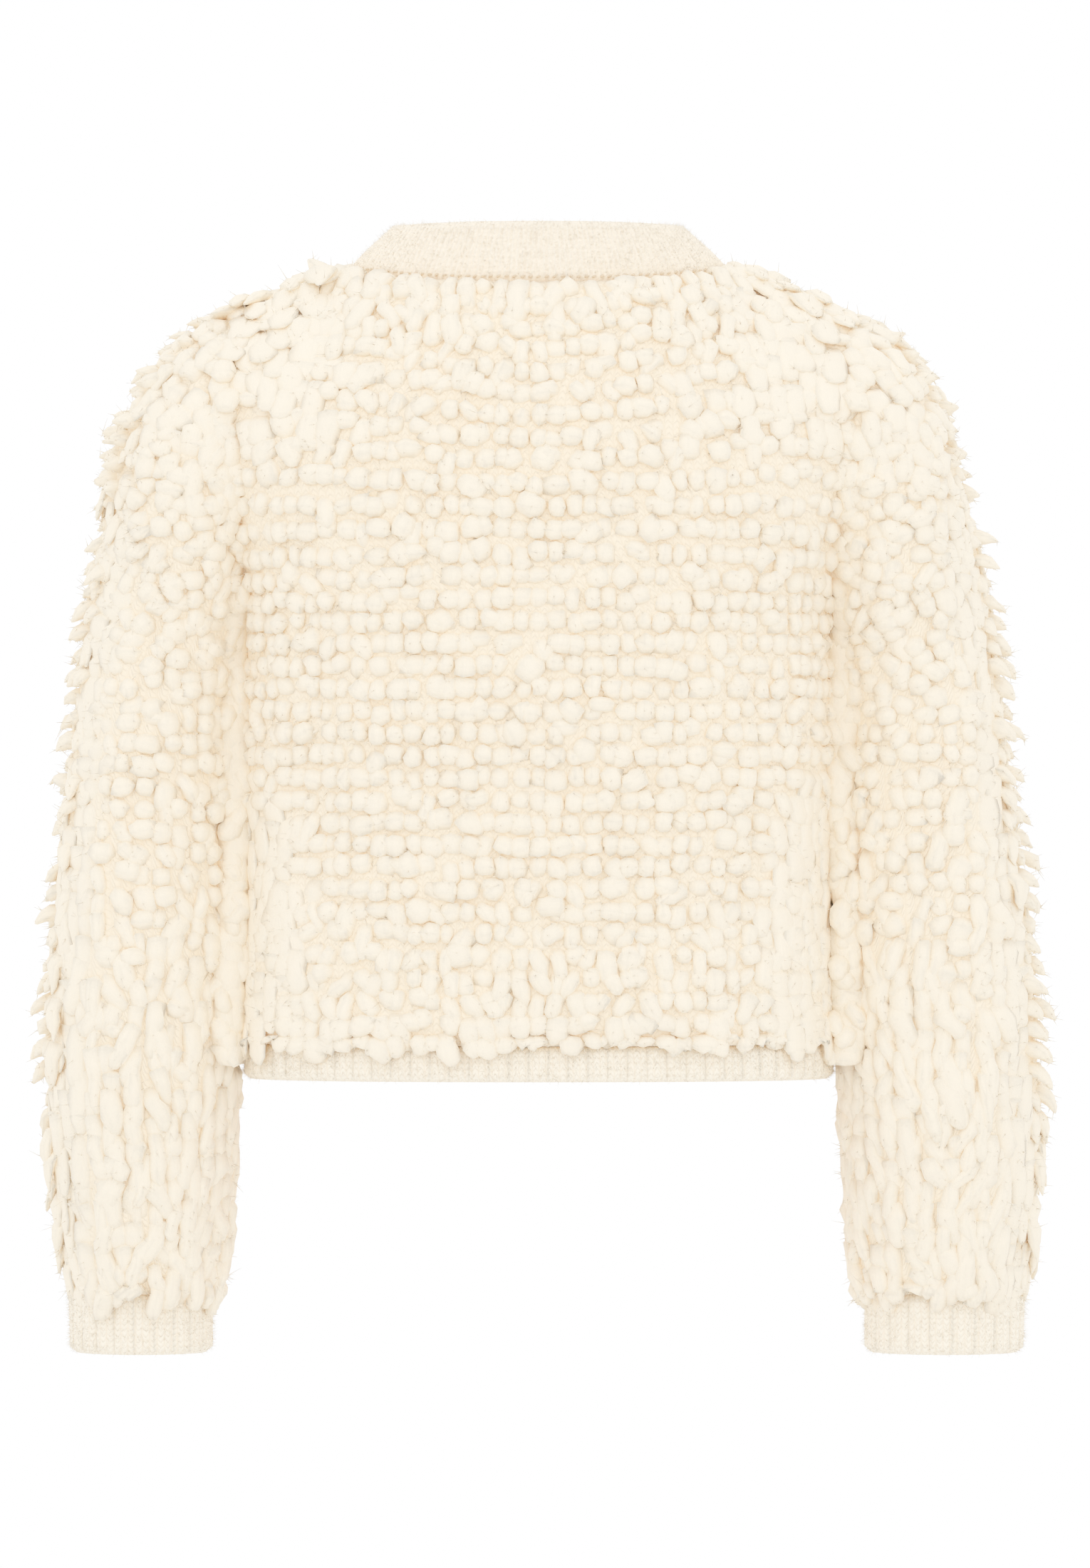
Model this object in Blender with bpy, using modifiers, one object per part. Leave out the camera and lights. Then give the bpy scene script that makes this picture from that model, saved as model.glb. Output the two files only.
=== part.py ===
"""A cropped, long-sleeved cardigan in shaggy loop-pile wool, in the shape that it has when worn, with no wearer.

Metres, +Z up. The front faces -Y and the wearer's left is +X. The origin is where the wearer's shoulders carry the
cardigan: in the middle of the neck opening, level with the neck seam at the shoulders.
Every cloth piece is a wall that starts from a plain inner surface, the side towards the wearer, and goes outwards:
13 mm of knit and loop pile on the back, fronts and sleeves, 4.5 mm of rib on the neckband, hem, cuffs and front bands.
"""

import math
from collections import namedtuple

import bmesh
import bpy
import numpy as np

# ---------------------------------------------------------------- sizes of the cut

BODY_LENGTH = 0.485  # from the origin's level down to the bottom edge
HEM_RIB = 0.024
CUFF_RIB = 0.038
UNDERARM = -0.200  # height of the underarm
SHOULDER_POINT = (0.190, 0.003, -0.032)  # where the shoulder seam meets the armhole
NECK_POINT = (0.114, 0.003, 0.002)  # where the shoulder seam meets the neckband
BACK_NECK = (0.064, -0.006)  # distance behind the origin and height of the neck seam at the centre back
FRONT_NECK = (0.086, -0.078)  # the same, in front of the origin, at the centre front
NECK_TURN = math.radians(76)  # how far round its ellipse each neck quarter runs
ARMHOLE_REACH = 0.054  # how far the armhole stands behind and before the shoulder line
SHOULDER_SLOPE = 0.38
TOP_SHAPE_FROM = 0.30  # share of the armhole's height from which a panel takes on the shape of its top edge

PILE_WALL = 0.013  # base knit with its loops
SHOULDER_PILE_EXTRA = 0.006  # how much higher the loops stand up on top of the shoulder, beside the neckband
RIB_WALL = 0.0045
BAND_WALL = 0.003
COURSE = 0.014  # one row of loops
LOOP_RELIEF = 0.0022  # how far a row of loops stands above, and the furrow lies below, the mean
RIB_RELIEF = 0.0011
NECK_RELIEF = 0.0005
NECK_GROOVE = 0.0012  # how much further still the neckband's outer foot stays from the pile
NECK_RIB = 0.0034
WELT_RIB = 0.012  # one rib of the hem and of the cuffs
SEAM_GAP = 0.0003
ARMHOLE_GAP = 0.0006  # how far a sleeve's ends stay inside their seam lines
MITRE_REACH = 0.055  # how far down the sleeve its wall still leans with the armhole's mitre
SEAM_GROOVE = 0.0009  # how much further a wall's outer edge stays from its seam

FRONT_BAND_HALF = 0.014
FRONT_BAND_RIBS = 4
BUTTON_COUNT = 6
BUTTON_RADIUS = 0.009
BUTTON_THICK = 0.0032

# The body below the underarm: each level's half width and its depth behind and before the side seams.
Level = namedtuple("Level", "height half_width back front")
BODY_LEVELS = (
    Level(-0.485, 0.1735, 0.101, 0.109),
    Level(-0.440, 0.1710, 0.101, 0.111),
    Level(-0.360, 0.1690, 0.104, 0.117),
    Level(-0.270, 0.1695, 0.111, 0.124),
    Level(-0.200, 0.1700, 0.114, 0.123),
)
BODY_FULLNESS = 0.64  # how far a section's curve handles reach: 0.55 is an ellipse, and more is squarer

# The sleeve below its cap: each level's centre, half width across the body and half depth.
ArmLevel = namedtuple("ArmLevel", "height centre_x centre_y half_width half_depth")
ARM_LEVELS = (
    ArmLevel(-0.265, 0.2345, 0.000, 0.0420, 0.0500),
    ArmLevel(-0.350, 0.2400, -0.001, 0.0460, 0.0500),
    ArmLevel(-0.430, 0.2430, -0.006, 0.0485, 0.0515),
    ArmLevel(-0.485, 0.2445, -0.012, 0.0485, 0.0510),
    ArmLevel(-0.540, 0.2440, -0.019, 0.0465, 0.0480),
    ArmLevel(-0.580, 0.2430, -0.026, 0.0430, 0.0440),
    ArmLevel(-0.605, 0.2425, -0.030, 0.0395, 0.0410),
    ArmLevel(-0.650, 0.2420, -0.038, 0.0380, 0.0395),
)
RIGHT_CUFF_EXTRA = 0.010  # how much further out the right sleeve's end reaches than the left one's
CAP_END = ARM_LEVELS[0].height
SLEEVE_END = -0.612

# The neckband's top edge, inside: half width at the sides, and distance and height at the back, side and front.
NECK_TOP_HALF = 0.080
NECK_TOP_BACK = (0.051, 0.035)
NECK_TOP_SIDE = 0.033
NECK_TOP_FRONT = (0.074, -0.047)

# Soft folds pressed into the cloth: where each one's middle lies, its half lengths and how deep it is.
Fold = namedtuple("Fold", "x y z reach_x reach_y reach_z depth")
FOLDS = (
    Fold(0.128, 0.090, -0.310, 0.018, 0.040, 0.110, 0.0045),
    Fold(-0.122, 0.090, -0.345, 0.016, 0.040, 0.085, 0.0035),
    Fold(0.120, -0.100, -0.290, 0.022, 0.040, 0.075, 0.0050),
    Fold(-0.128, -0.095, -0.320, 0.020, 0.040, 0.095, 0.0045),
    Fold(0.240, -0.060, -0.375, 0.040, 0.030, 0.013, 0.0050),
    Fold(-0.240, -0.060, -0.390, 0.040, 0.030, 0.012, 0.0045),
    Fold(0.235, 0.050, -0.205, 0.020, 0.030, 0.030, 0.0030),
    Fold(-0.240, 0.050, -0.215, 0.020, 0.030, 0.035, 0.0035),
    Fold(0.255, -0.060, -0.545, 0.030, 0.030, 0.014, 0.0035),
    Fold(-0.250, -0.060, -0.555, 0.030, 0.030, 0.013, 0.0035),
)

# ---------------------------------------------------------------- how finely each piece is divided

HALF_COLUMNS = 7  # of a panel, from the centre to the side seam
NECK_COLUMNS = 5  # of those, the ones that end at the neck; the rest end at the shoulder seam
ARM_CHORDS = 7  # of half the armhole, shared by the sleeve and the body
ROWS_PER_CHORD = 4
UPPER_ROWS = ARM_CHORDS * ROWS_PER_CHORD
CAP_ROWS = 24  # of the sleeve, from the armhole to the level of CAP_END
INNER_STEP = 4  # rows of the outer surface for each row of the plain inner one
BACK, FRONT = 1, -1

CREAM = (0.86, 0.80, 0.68)
RIB_CREAM = (0.88, 0.80, 0.68)
BUTTON_IVORY = (0.80, 0.73, 0.60)


# ---------------------------------------------------------------- curves


def eased(share):
    """0 to 1 with a level start and end."""
    share = np.clip(share, 0.0, 1.0)
    return share * share * (3 - 2 * share)


def unit(vectors):
    return vectors / np.linalg.norm(vectors, axis=-1, keepdims=True)


def through(levels, column, height):
    """A column of a table of levels at any height: a cubic through its rows, with slopes from its neighbours."""
    rows = sorted(levels)
    at = np.array([row.height for row in rows])
    values = np.array([getattr(row, column) for row in rows])
    slopes = np.gradient(values, at)
    i = np.clip(np.searchsorted(at, height) - 1, 0, len(at) - 2)
    span = at[i + 1] - at[i]
    u = (height - at[i]) / span
    return (
        values[i] * (1 + 2 * u) * (1 - u) ** 2
        + slopes[i] * span * u * (1 - u) ** 2
        + values[i + 1] * u * u * (3 - 2 * u)
        + slopes[i + 1] * span * u * u * (u - 1)
    )


def evenly(points, shares):
    """Points at these shares of the length of a finely drawn line."""
    steps = np.linalg.norm(np.diff(points, axis=0), axis=1)
    along = np.concatenate([[0], np.cumsum(steps)])
    return np.stack([np.interp(shares * along[-1], along, points[:, k]) for k in range(3)], axis=-1)


def bent(start, start_way, end_way, end, shares):
    """Evenly spaced points on a cubic curve that leaves start along start_way and comes in to end from end_way."""
    u = np.linspace(0, 1, 121)[:, None]
    line = (
        start * (1 - u) ** 3
        + 3 * (start + start_way) * u * (1 - u) ** 2
        + 3 * (end + end_way) * u * u * (1 - u)
        + end * u**3
    )
    return evenly(line, shares)


def body_row(side, height, shares):
    """A level of the body from its centre (share 0) to its side seam (share 1): a full quarter of an oval."""
    half = through(BODY_LEVELS, "half_width", height)
    deep = side * through(BODY_LEVELS, "back" if side == BACK else "front", height)
    return bent(
        np.array([0.0, deep, height]),
        np.array([half * BODY_FULLNESS, 0.0, 0.0]),
        np.array([0.0, deep * BODY_FULLNESS, 0.0]),
        np.array([half, 0.0, height]),
        shares,
    )


def neck_seam(side, shares):
    """The neck seam from the centre (share 0) to the neck point (share 1): part of an ellipse that rises sideways."""
    away, height = BACK_NECK if side == BACK else FRONT_NECK
    turn = shares * NECK_TURN
    drop = (np.cos(turn) - math.cos(NECK_TURN)) / (1 - math.cos(NECK_TURN))
    return np.stack(
        [
            NECK_POINT[0] * np.sin(turn) / math.sin(NECK_TURN),
            NECK_POINT[1] + (side * away - NECK_POINT[1]) * drop,
            NECK_POINT[2] + (height - NECK_POINT[2]) * drop,
        ],
        axis=-1,
    )


def top_row(side, shares):
    """A panel's upper edge: the neck seam, then the straight shoulder seam."""
    neck_share = NECK_COLUMNS / HALF_COLUMNS
    neck = neck_seam(side, np.clip(shares / neck_share, 0, 1))
    out = np.clip((shares - neck_share) / (1 - neck_share), 0, 1)[:, None]
    shoulder = np.array(NECK_POINT) * (1 - out) + np.array(SHOULDER_POINT) * out
    return np.where(shares[:, None] <= neck_share, neck, shoulder)


def armhole(side, shares):
    """Half the armhole, from the underarm (share 0) to the shoulder point (share 1)."""
    side_seam = through(BODY_LEVELS, "half_width", UNDERARM)
    rise = np.sin(shares * math.pi / 2) ** 1.2
    return np.stack(
        [
            side_seam + (SHOULDER_POINT[0] - side_seam) * rise,
            side * ARMHOLE_REACH * np.sin(shares * math.pi) + SHOULDER_POINT[1] * shares,
            UNDERARM + (SHOULDER_POINT[2] - UNDERARM) * rise,
        ],
        axis=-1,
    )


def armhole_chords(side, shares):
    """The armhole as the straight chords between the points that the body and the sleeve share."""
    ends = np.arange(ARM_CHORDS + 1) / ARM_CHORDS
    corners = armhole(side, ends)
    return np.stack([np.interp(shares, ends, corners[:, k]) for k in range(3)], axis=-1)


def centre_line(side, shares):
    """A panel's middle above the underarm: up the chest or the back, then over towards the neck."""
    low = body_row(side, UNDERARM, np.array([0.0]))[0]
    high = neck_seam(side, np.array([0.0]))[0]
    turn = np.array([0.0, low[1] * 1.02, low[2] + 0.66 * (high[2] - low[2])])
    u = np.linspace(0, 1, 121)[:, None]
    return evenly(low * (1 - u) ** 2 + 2 * turn * u * (1 - u) + high * u * u, shares)


def folded(points, normals):
    """The points after the folds are pressed into the cloth."""
    points = points.copy()
    for fold in FOLDS:
        off = (points - [fold.x, fold.y, fold.z]) / [fold.reach_x, fold.reach_y, fold.reach_z]
        points -= fold.depth * np.exp(-(off**2).sum(axis=-1))[..., None] * normals
    return points


def surface_normals(points, closed, outwards_from):
    """Unit normals of a grid of points, turned away from the given middle line."""
    rows = np.gradient(points, axis=0)
    if closed:
        columns = (np.roll(points, -1, axis=1) - np.roll(points, 1, axis=1)) / 2
    else:
        columns = np.gradient(points, axis=1)
    normals = np.cross(rows, columns)
    normals /= np.maximum(np.linalg.norm(normals, axis=-1, keepdims=True), 1e-12)
    return normals * np.sign(((points - outwards_from) * normals).sum(axis=-1, keepdims=True))


# ---------------------------------------------------------------- seams

UNDERARM_LEAN, SHOULDER_LEAN = 0.72, 0.36  # how far the armhole's mitre leans out, to its unit height
BACK_NECK_LEAN, FRONT_NECK_LEAN, SIDE_NECK_LEAN = 0.35, 0.30, 1.0  # the same, upwards, of the neck's mitre


def armhole_direction(side, shares):
    """The way that the wall stands at the armhole seam: a mitre between the body and the sleeve."""
    lean = UNDERARM_LEAN + (SHOULDER_LEAN - UNDERARM_LEAN) * shares
    return unit(
        np.stack([lean, side * np.sin(shares * math.pi), -np.cos(shares * math.pi) * 0.95], axis=-1)
    )


def neck_direction(side, shares):
    """The way that the wall stands at the neck seam, between the panel's own way and the neckband's."""
    turn = shares * math.pi / 2
    lean = BACK_NECK_LEAN if side == BACK else FRONT_NECK_LEAN
    return unit(
        np.stack(
            [
                0.44 * np.sin(turn),
                side * np.cos(turn) ** 0.8,
                lean + (SIDE_NECK_LEAN - lean) * np.sin(turn),
            ],
            axis=-1,
        )
    )


SHOULDER_DIRECTION = unit(
    np.array([NECK_POINT[2] - SHOULDER_POINT[2], 0.0, SHOULDER_POINT[0] - NECK_POINT[0]])
)


def pile_depth(points):
    """How thick the loop-pile wall is: thinner where the sleeve and the side press together and in the armpit."""
    across, along, up = np.abs(points[..., 0]), points[..., 1], points[..., 2]
    pressed = np.exp(-(((across - 0.181) / 0.022) ** 2) - (along / 0.055) ** 2)
    pressed = pressed * eased((UNDERARM + 0.03 - up) / 0.06) * eased((up + BODY_LENGTH + 0.05) / 0.06)
    on_shoulder = np.exp(-(((across - 0.128) / 0.026) ** 2) - (along / 0.05) ** 2) * eased((up + 0.06) / 0.05)
    armpit = np.linalg.norm(
        np.stack([across - 0.176, along, up - UNDERARM + 0.012], axis=-1), axis=-1
    )
    thick = PILE_WALL * (1 - 0.20 * pressed) * (0.30 + 0.70 * eased(armpit / 0.075))
    return thick + SHOULDER_PILE_EXTRA * on_shoulder


def edge_fade(rows, columns, closed):
    """1 inside a piece and 0 along its seams, so that the raised loops don't reach across a seam."""
    fade = np.ones((rows, columns))
    fade[0] = fade[-1] = 0.0
    if not closed:
        fade[:, 0] = fade[:, -1] = 0.0
    return fade


def loop_relief(points, closed):
    """Rows of loops: every second row of points stands up as a line of uneven tufts, with a furrow between."""
    rows, columns = points.shape[:2]
    row, column = np.mgrid[0:rows, 0:columns]
    tuft = 1 + 0.45 * np.sin(2.3 * column + 1.9 * (row // 2)) * np.cos(0.7 * column - 2.6 * (row // 2))
    wave = np.where(row % 2 == 1, tuft, -0.8 * tuft)
    tight = np.linalg.norm(np.gradient(points, axis=0), axis=-1) / (COURSE / 2)
    return LOOP_RELIEF * wave * eased(tight - 0.35) * edge_fade(rows, columns, closed)


def pile_thickness(points, closed):
    """The pile wall with its rows of loops, which lie flatter where the pile is pressed thin."""
    depth = pile_depth(points)
    return depth + loop_relief(points, closed) * np.minimum(depth / PILE_WALL, 1.0) ** 2


# ---------------------------------------------------------------- solids


def drawn_back(points, closed, gap=SEAM_GAP / 2):
    """The same grid with each seam edge a little inside its line."""
    points = points.copy()
    for edge, inside in ((0, 1), (-1, -2)):
        points[edge] += unit(points[inside] - points[edge]) * gap
    if not closed:
        for edge, inside in ((0, 1), (-1, -2)):
            points[:, edge] += unit(points[:, inside] - points[:, edge]) * gap
    return points


def opened(outer, closed):
    """The outer points with each seam edge drawn back a little more, so that the seam opens outwards as a groove."""
    outer = outer.copy()
    for edge, inside in ((0, 1), (-1, -2)):
        outer[edge] += unit(outer[inside] - outer[edge]) * SEAM_GROOVE
    if not closed:
        for edge, inside in ((0, 1), (-1, -2)):
            outer[:, edge] += unit(outer[:, inside] - outer[:, edge]) * SEAM_GROOVE
    return outer


def strip(outer, inner, step):
    """Triangles between a line of outer points and the coarser line of inner ones, step outer points to each."""
    faces = []
    for i in range(len(inner) - 1):
        first, middle, last = i * step, i * step + step // 2, (i + 1) * step
        faces += [(inner[i], outer[k], outer[k + 1]) for k in range(first, middle)]
        faces.append((inner[i], outer[middle], inner[i + 1]))
        faces += [(inner[i + 1], outer[k], outer[k + 1]) for k in range(middle, last)]
    return faces


def grid_faces(index):
    return [
        (index[i, j], index[i, j + 1], index[i + 1, j + 1], index[i + 1, j])
        for i in range(index.shape[0] - 1)
        for j in range(index.shape[1] - 1)
    ]


def wall(name, inner, outer, material, closed=False, row_step=1, column_step=1):
    """A cloth wall as one closed solid: a fine outer grid, a plain inner grid of every few rows and columns, and
    the edges between them. A closed wall is a tube, whose columns go all round."""
    rows, columns = outer.shape[:2]
    outer_index = np.arange(rows * columns).reshape(rows, columns)
    coarse = inner[::row_step, ::column_step]
    inner_index = rows * columns + np.arange(coarse.shape[0] * coarse.shape[1]).reshape(coarse.shape[:2])
    if closed:
        outer_index = np.hstack([outer_index, outer_index[:, :1]])
        inner_index = np.hstack([inner_index, inner_index[:, :1]])
    faces = grid_faces(outer_index) + grid_faces(inner_index)
    for edge in (0, -1):
        faces += strip(outer_index[edge], inner_index[edge], column_step)
        if not closed:
            faces += strip(outer_index[:, edge], inner_index[:, edge], row_step)
    points = np.concatenate([outer.reshape(-1, 3), coarse.reshape(-1, 3)])
    mesh = bpy.data.meshes.new(name)
    mesh.from_pydata(points.tolist(), [], [tuple(int(v) for v in face) for face in faces])
    shaped = bmesh.new()
    shaped.from_mesh(mesh)
    bmesh.ops.triangulate(shaped, faces=shaped.faces)
    bmesh.ops.recalc_face_normals(shaped, faces=shaped.faces)
    if shaped.calc_volume(signed=True) < 0:
        bmesh.ops.reverse_faces(shaped, faces=shaped.faces)
    shaped.to_mesh(mesh)
    shaped.free()
    mesh.materials.append(material)
    mesh.shade_smooth()
    mesh.set_sharp_from_angle(angle=math.radians(70))
    made = bpy.data.objects.new(name, mesh)
    CARDIGAN.objects.link(made)
    return made


def cloth_material(name, colour, roughness):
    """A plain colour: matt for wool, satin for a button."""
    material = bpy.data.materials.new(name)
    material.use_nodes = True
    shader = material.node_tree.nodes["Principled BSDF"]
    shader.inputs["Base Color"].default_value = (*colour, 1.0)
    shader.inputs["Roughness"].default_value = roughness
    shader.inputs["Metallic"].default_value = 0.0
    material.diffuse_color = (*colour, 1.0)
    return material


# ---------------------------------------------------------------- back and fronts


def half_panel(side):
    """The inner surface of half a panel on the +X side: rows from the hem seam to the neck and shoulder."""
    shares = np.arange(HALF_COLUMNS + 1) / HALF_COLUMNS
    hem_seam = -BODY_LENGTH + HEM_RIB
    lower_rows = INNER_STEP * round((UNDERARM - hem_seam) / (COURSE / 2) / INNER_STEP)
    lower = np.array([body_row(side, z, shares) for z in np.linspace(hem_seam, UNDERARM, lower_rows + 1)])
    up = np.arange(1, UPPER_ROWS + 1) / UPPER_ROWS
    middles, edges = centre_line(side, up), armhole_chords(side, up)
    turns = math.pi / 2 * (1 - up) ** 1.2
    upper = []
    for share, middle, edge, turn in zip(up, middles, edges, turns):
        deep = abs(middle[1] - edge[1]) + 0.3 * ARMHOLE_REACH * math.sin(share * math.pi)
        edge_way = np.array([-math.cos(turn), side * math.sin(turn), SHOULDER_SLOPE * share**2])
        row = bent(
            middle,
            np.array([edge[0] * BODY_FULLNESS, 0.0, 0.0]),
            edge_way * deep * BODY_FULLNESS,
            edge,
            shares,
        )
        near_top = eased((share - TOP_SHAPE_FROM) / (1 - TOP_SHAPE_FROM))
        top_shape = top_row(side, shares)
        top_shape += (middle - top_shape[0]) * (1 - shares[:, None]) + (edge - top_shape[-1]) * shares[:, None]
        upper.append(row * (1 - near_top) + top_shape * near_top)
    return np.concatenate([lower, upper]), lower_rows


def half_panel_directions(side, points, lower_rows):
    """The way that the wall stands at each point of a half panel: its normals, and what it shares along seams."""
    mirrored = points[:, :0:-1] * [-1, 1, 1]
    whole = np.concatenate([mirrored, points], axis=1)
    directions = surface_normals(whole, False, np.array([0.0, 0.0, -0.25]))[:, mirrored.shape[1] :]
    directions[0, :, 2] = 0.0
    directions[0] = unit(directions[0])
    directions[: lower_rows + 1, -1] = [1.0, 0.0, 0.0]
    chord_ends = np.arange(ARM_CHORDS + 1) / ARM_CHORDS
    mitres = armhole_direction(side, chord_ends)
    up = np.arange(UPPER_ROWS + 1) / UPPER_ROWS
    along = np.stack([np.interp(up, chord_ends, mitres[:, k]) for k in range(3)], axis=-1)
    directions[lower_rows:, -1] = along
    directions[-1, NECK_COLUMNS:-1] = SHOULDER_DIRECTION
    neck = np.arange(NECK_COLUMNS + 1) / NECK_COLUMNS
    directions[-1, : NECK_COLUMNS + 1] = neck_direction(side, neck)
    directions[-1, -1] = armhole_direction(side, np.array([1.0]))[0]
    return directions


def panel(name, points, directions, material):
    """A loop-pile panel from its inner surface and the way that its wall stands."""
    base = drawn_back(folded(points, directions), closed=False)
    thick = pile_thickness(base, closed=False)
    outer = opened(base + directions * thick[..., None], closed=False)
    wall(name, base, outer, material, row_step=INNER_STEP)


def make_back(material):
    """The back is one piece, so its two halves share the centre column."""
    points, lower_rows = half_panel(BACK)
    directions = half_panel_directions(BACK, points, lower_rows)
    mirror = np.array([-1, 1, 1])
    panel(
        "back",
        np.concatenate([points[:, :0:-1] * mirror, points], axis=1),
        np.concatenate([directions[:, :0:-1] * mirror, directions], axis=1),
        material,
    )


def make_fronts(material):
    """Each front stops at its button band, half the band's width from the centre."""
    for name, hand in (("front_left", 1), ("front_right", -1)):
        points, lower_rows = half_panel(FRONT)
        directions = half_panel_directions(FRONT, points, lower_rows)
        points[:, 0, 0] = FRONT_BAND_HALF + SEAM_GAP / 2
        directions[:, 0, 0] = 0.0
        mirror = np.array([hand, 1, 1])
        panel(name, points * mirror, unit(directions) * mirror, material)


# ---------------------------------------------------------------- sleeves


def arm_ring(height, turn, hand):
    """A level of the sleeve. The turn is 0 beside the body, a quarter at the back and a half on the outside."""
    wider = RIGHT_CUFF_EXTRA / 2 * eased((CAP_END - height) / (CAP_END - SLEEVE_END)) if hand < 0 else 0.0
    centre = through(ARM_LEVELS, "centre_x", height) + wider
    half_width = through(ARM_LEVELS, "half_width", height) + wider
    return np.stack(
        [
            centre - half_width * np.cos(turn),
            through(ARM_LEVELS, "centre_y", height) + through(ARM_LEVELS, "half_depth", height) * np.sin(turn),
            np.full_like(turn, height),
        ],
        axis=-1,
    )


def sleeve_surface(hand):
    """The inner surface of a sleeve, as it is on the +X side: the cap lofted from the armhole, then rings to the cuff."""
    turn = np.arange(2 * ARM_CHORDS) * math.pi / ARM_CHORDS
    back_half = turn <= math.pi
    share = np.where(back_half, turn, 2 * math.pi - turn) / math.pi
    start = np.where(back_half[:, None], armhole(BACK, share), armhole(FRONT, share))
    end = arm_ring(CAP_END, turn, hand)
    outside = ((1 - np.cos(turn)) / 2)[:, None]
    sideways = np.abs(np.sin(turn))[:, None]
    leave = outside * [0.165, 0, -0.050] + (1 - outside) * [0.045, 0, -0.006] + sideways * [0, 0, -0.055]
    leave = leave + np.sin(turn)[:, None] * [0, 0.035, 0]
    arrive = outside * [0.020, 0, -0.280] + (1 - outside) * [0.004, 0, -0.075]
    u = (np.arange(CAP_ROWS) / CAP_ROWS)[:, None, None]
    cap = (
        start * (1 + 2 * u) * (1 - u) ** 2
        + leave * u * (1 - u) ** 2
        + end * u * u * (3 - 2 * u)
        + arrive * u * u * (u - 1)
    )
    rows = INNER_STEP * round((CAP_END - SLEEVE_END) / (COURSE / 2) / INNER_STEP)
    tube = np.array([arm_ring(z, turn, hand) for z in np.linspace(CAP_END, SLEEVE_END, rows + 1)])
    points = np.concatenate([cap, tube])
    middle = points.mean(axis=1, keepdims=True)
    directions = surface_normals(points, True, middle)
    first = np.where(back_half[:, None], armhole_direction(BACK, share), armhole_direction(FRONT, share))
    settle = eased(np.linalg.norm(points - points[:1], axis=-1, keepdims=True) / MITRE_REACH)
    directions = unit(first * (1 - settle) + directions * settle)
    directions[-1, :, 2] = 0.0
    return points, unit(directions)


def make_sleeves(material):
    for name, hand in (("sleeve_left", 1), ("sleeve_right", -1)):
        points, directions = sleeve_surface(hand)
        mirror = np.array([hand, 1, 1])
        base = drawn_back(folded(points * mirror, directions * mirror), closed=True, gap=ARMHOLE_GAP)
        thick = pile_thickness(base, closed=True)
        outer = opened(base + directions * mirror * thick[..., None], closed=True)
        wall(name, base, outer, material, closed=True, row_step=INNER_STEP)


# ---------------------------------------------------------------- ribbed neckband, hem and cuffs


def ribs(columns, relief=RIB_RELIEF):
    """The raised and sunken columns of a rib: up, down, up, down, from edge to edge."""
    return np.where(np.arange(columns) % 2 == 1, relief, -0.6 * relief)


def neckband_quarter(side, hand):
    """Columns of the neckband from the centre to the neck point, as lines from its seam to its top edge."""
    chords = np.arange(NECK_COLUMNS + 1) / NECK_COLUMNS
    corners = neck_seam(side, chords)
    mitres = neck_direction(side, chords)
    edge = FRONT_BAND_HALF if side == FRONT else 0.0
    first_foot = chords[1] * edge / corners[1][0]
    first_top = math.asin(edge / NECK_TOP_HALF)
    starts = np.array([first_foot, *chords[1:]])
    lengths = np.linalg.norm(np.diff(corners, axis=0), axis=1) * np.diff(starts) * NECK_COLUMNS
    fine = [
        np.linspace(start, end, 2 * round(length / NECK_RIB), endpoint=False)
        for start, end, length in zip(starts, starts[1:], lengths)
    ]
    fine = np.concatenate([*fine, [1.0]])
    along = (fine - first_foot) / (1 - first_foot)
    foot = np.stack([np.interp(fine, chords, corners[:, k]) for k in range(3)], axis=-1)
    foot_way = np.stack([np.interp(fine, chords, mitres[:, k]) for k in range(3)], axis=-1)
    turn = first_top + (math.pi / 2 - first_top) * along
    away, height = NECK_TOP_BACK if side == BACK else NECK_TOP_FRONT
    top = np.stack(
        [
            NECK_TOP_HALF * np.sin(turn),
            side * away * np.cos(turn),
            NECK_TOP_SIDE + (height - NECK_TOP_SIDE) * np.cos(turn) ** 1.5,
        ],
        axis=-1,
    )
    mirror = np.array([hand, 1, 1])
    return foot * mirror, top * mirror, foot_way * mirror


def make_neckband(material):
    """One rib strip all round the neck, open at the centre front, where the two front bands cross it."""
    front_left = neckband_quarter(FRONT, 1)
    back_left = [part[::-1] for part in neckband_quarter(BACK, 1)]
    back_right = neckband_quarter(BACK, -1)
    front_right = [part[::-1] for part in neckband_quarter(FRONT, -1)]
    quarters = (front_left, back_left, back_right, front_right)
    foot, top, foot_way = (
        np.concatenate([quarter[k][(0 if i == 0 else 1) :] for i, quarter in enumerate(quarters)])
        for k in range(3)
    )
    inner = np.stack([foot, top])
    for column, hand in ((0, 1), (-1, -1)):
        inner[:, column, 0] = hand * (FRONT_BAND_HALF + SEAM_GAP / 2)
    directions = surface_normals(inner, False, np.array([0.0, 0.0, -0.35]))
    directions[:, (0, -1), 0] = 0.0
    directions = unit(directions)
    directions[0] = foot_way
    inner = drawn_back(inner, closed=False)
    thick = np.full(inner.shape[:2], RIB_WALL) + ribs(inner.shape[1], NECK_RELIEF)
    thick[:, (0, -1)] = RIB_WALL
    outer = opened(inner + directions * thick[..., None], closed=False)
    outer[0] += unit(outer[1] - outer[0]) * NECK_GROOVE
    wall("neckband", inner, outer, material, column_step=2)


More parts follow.
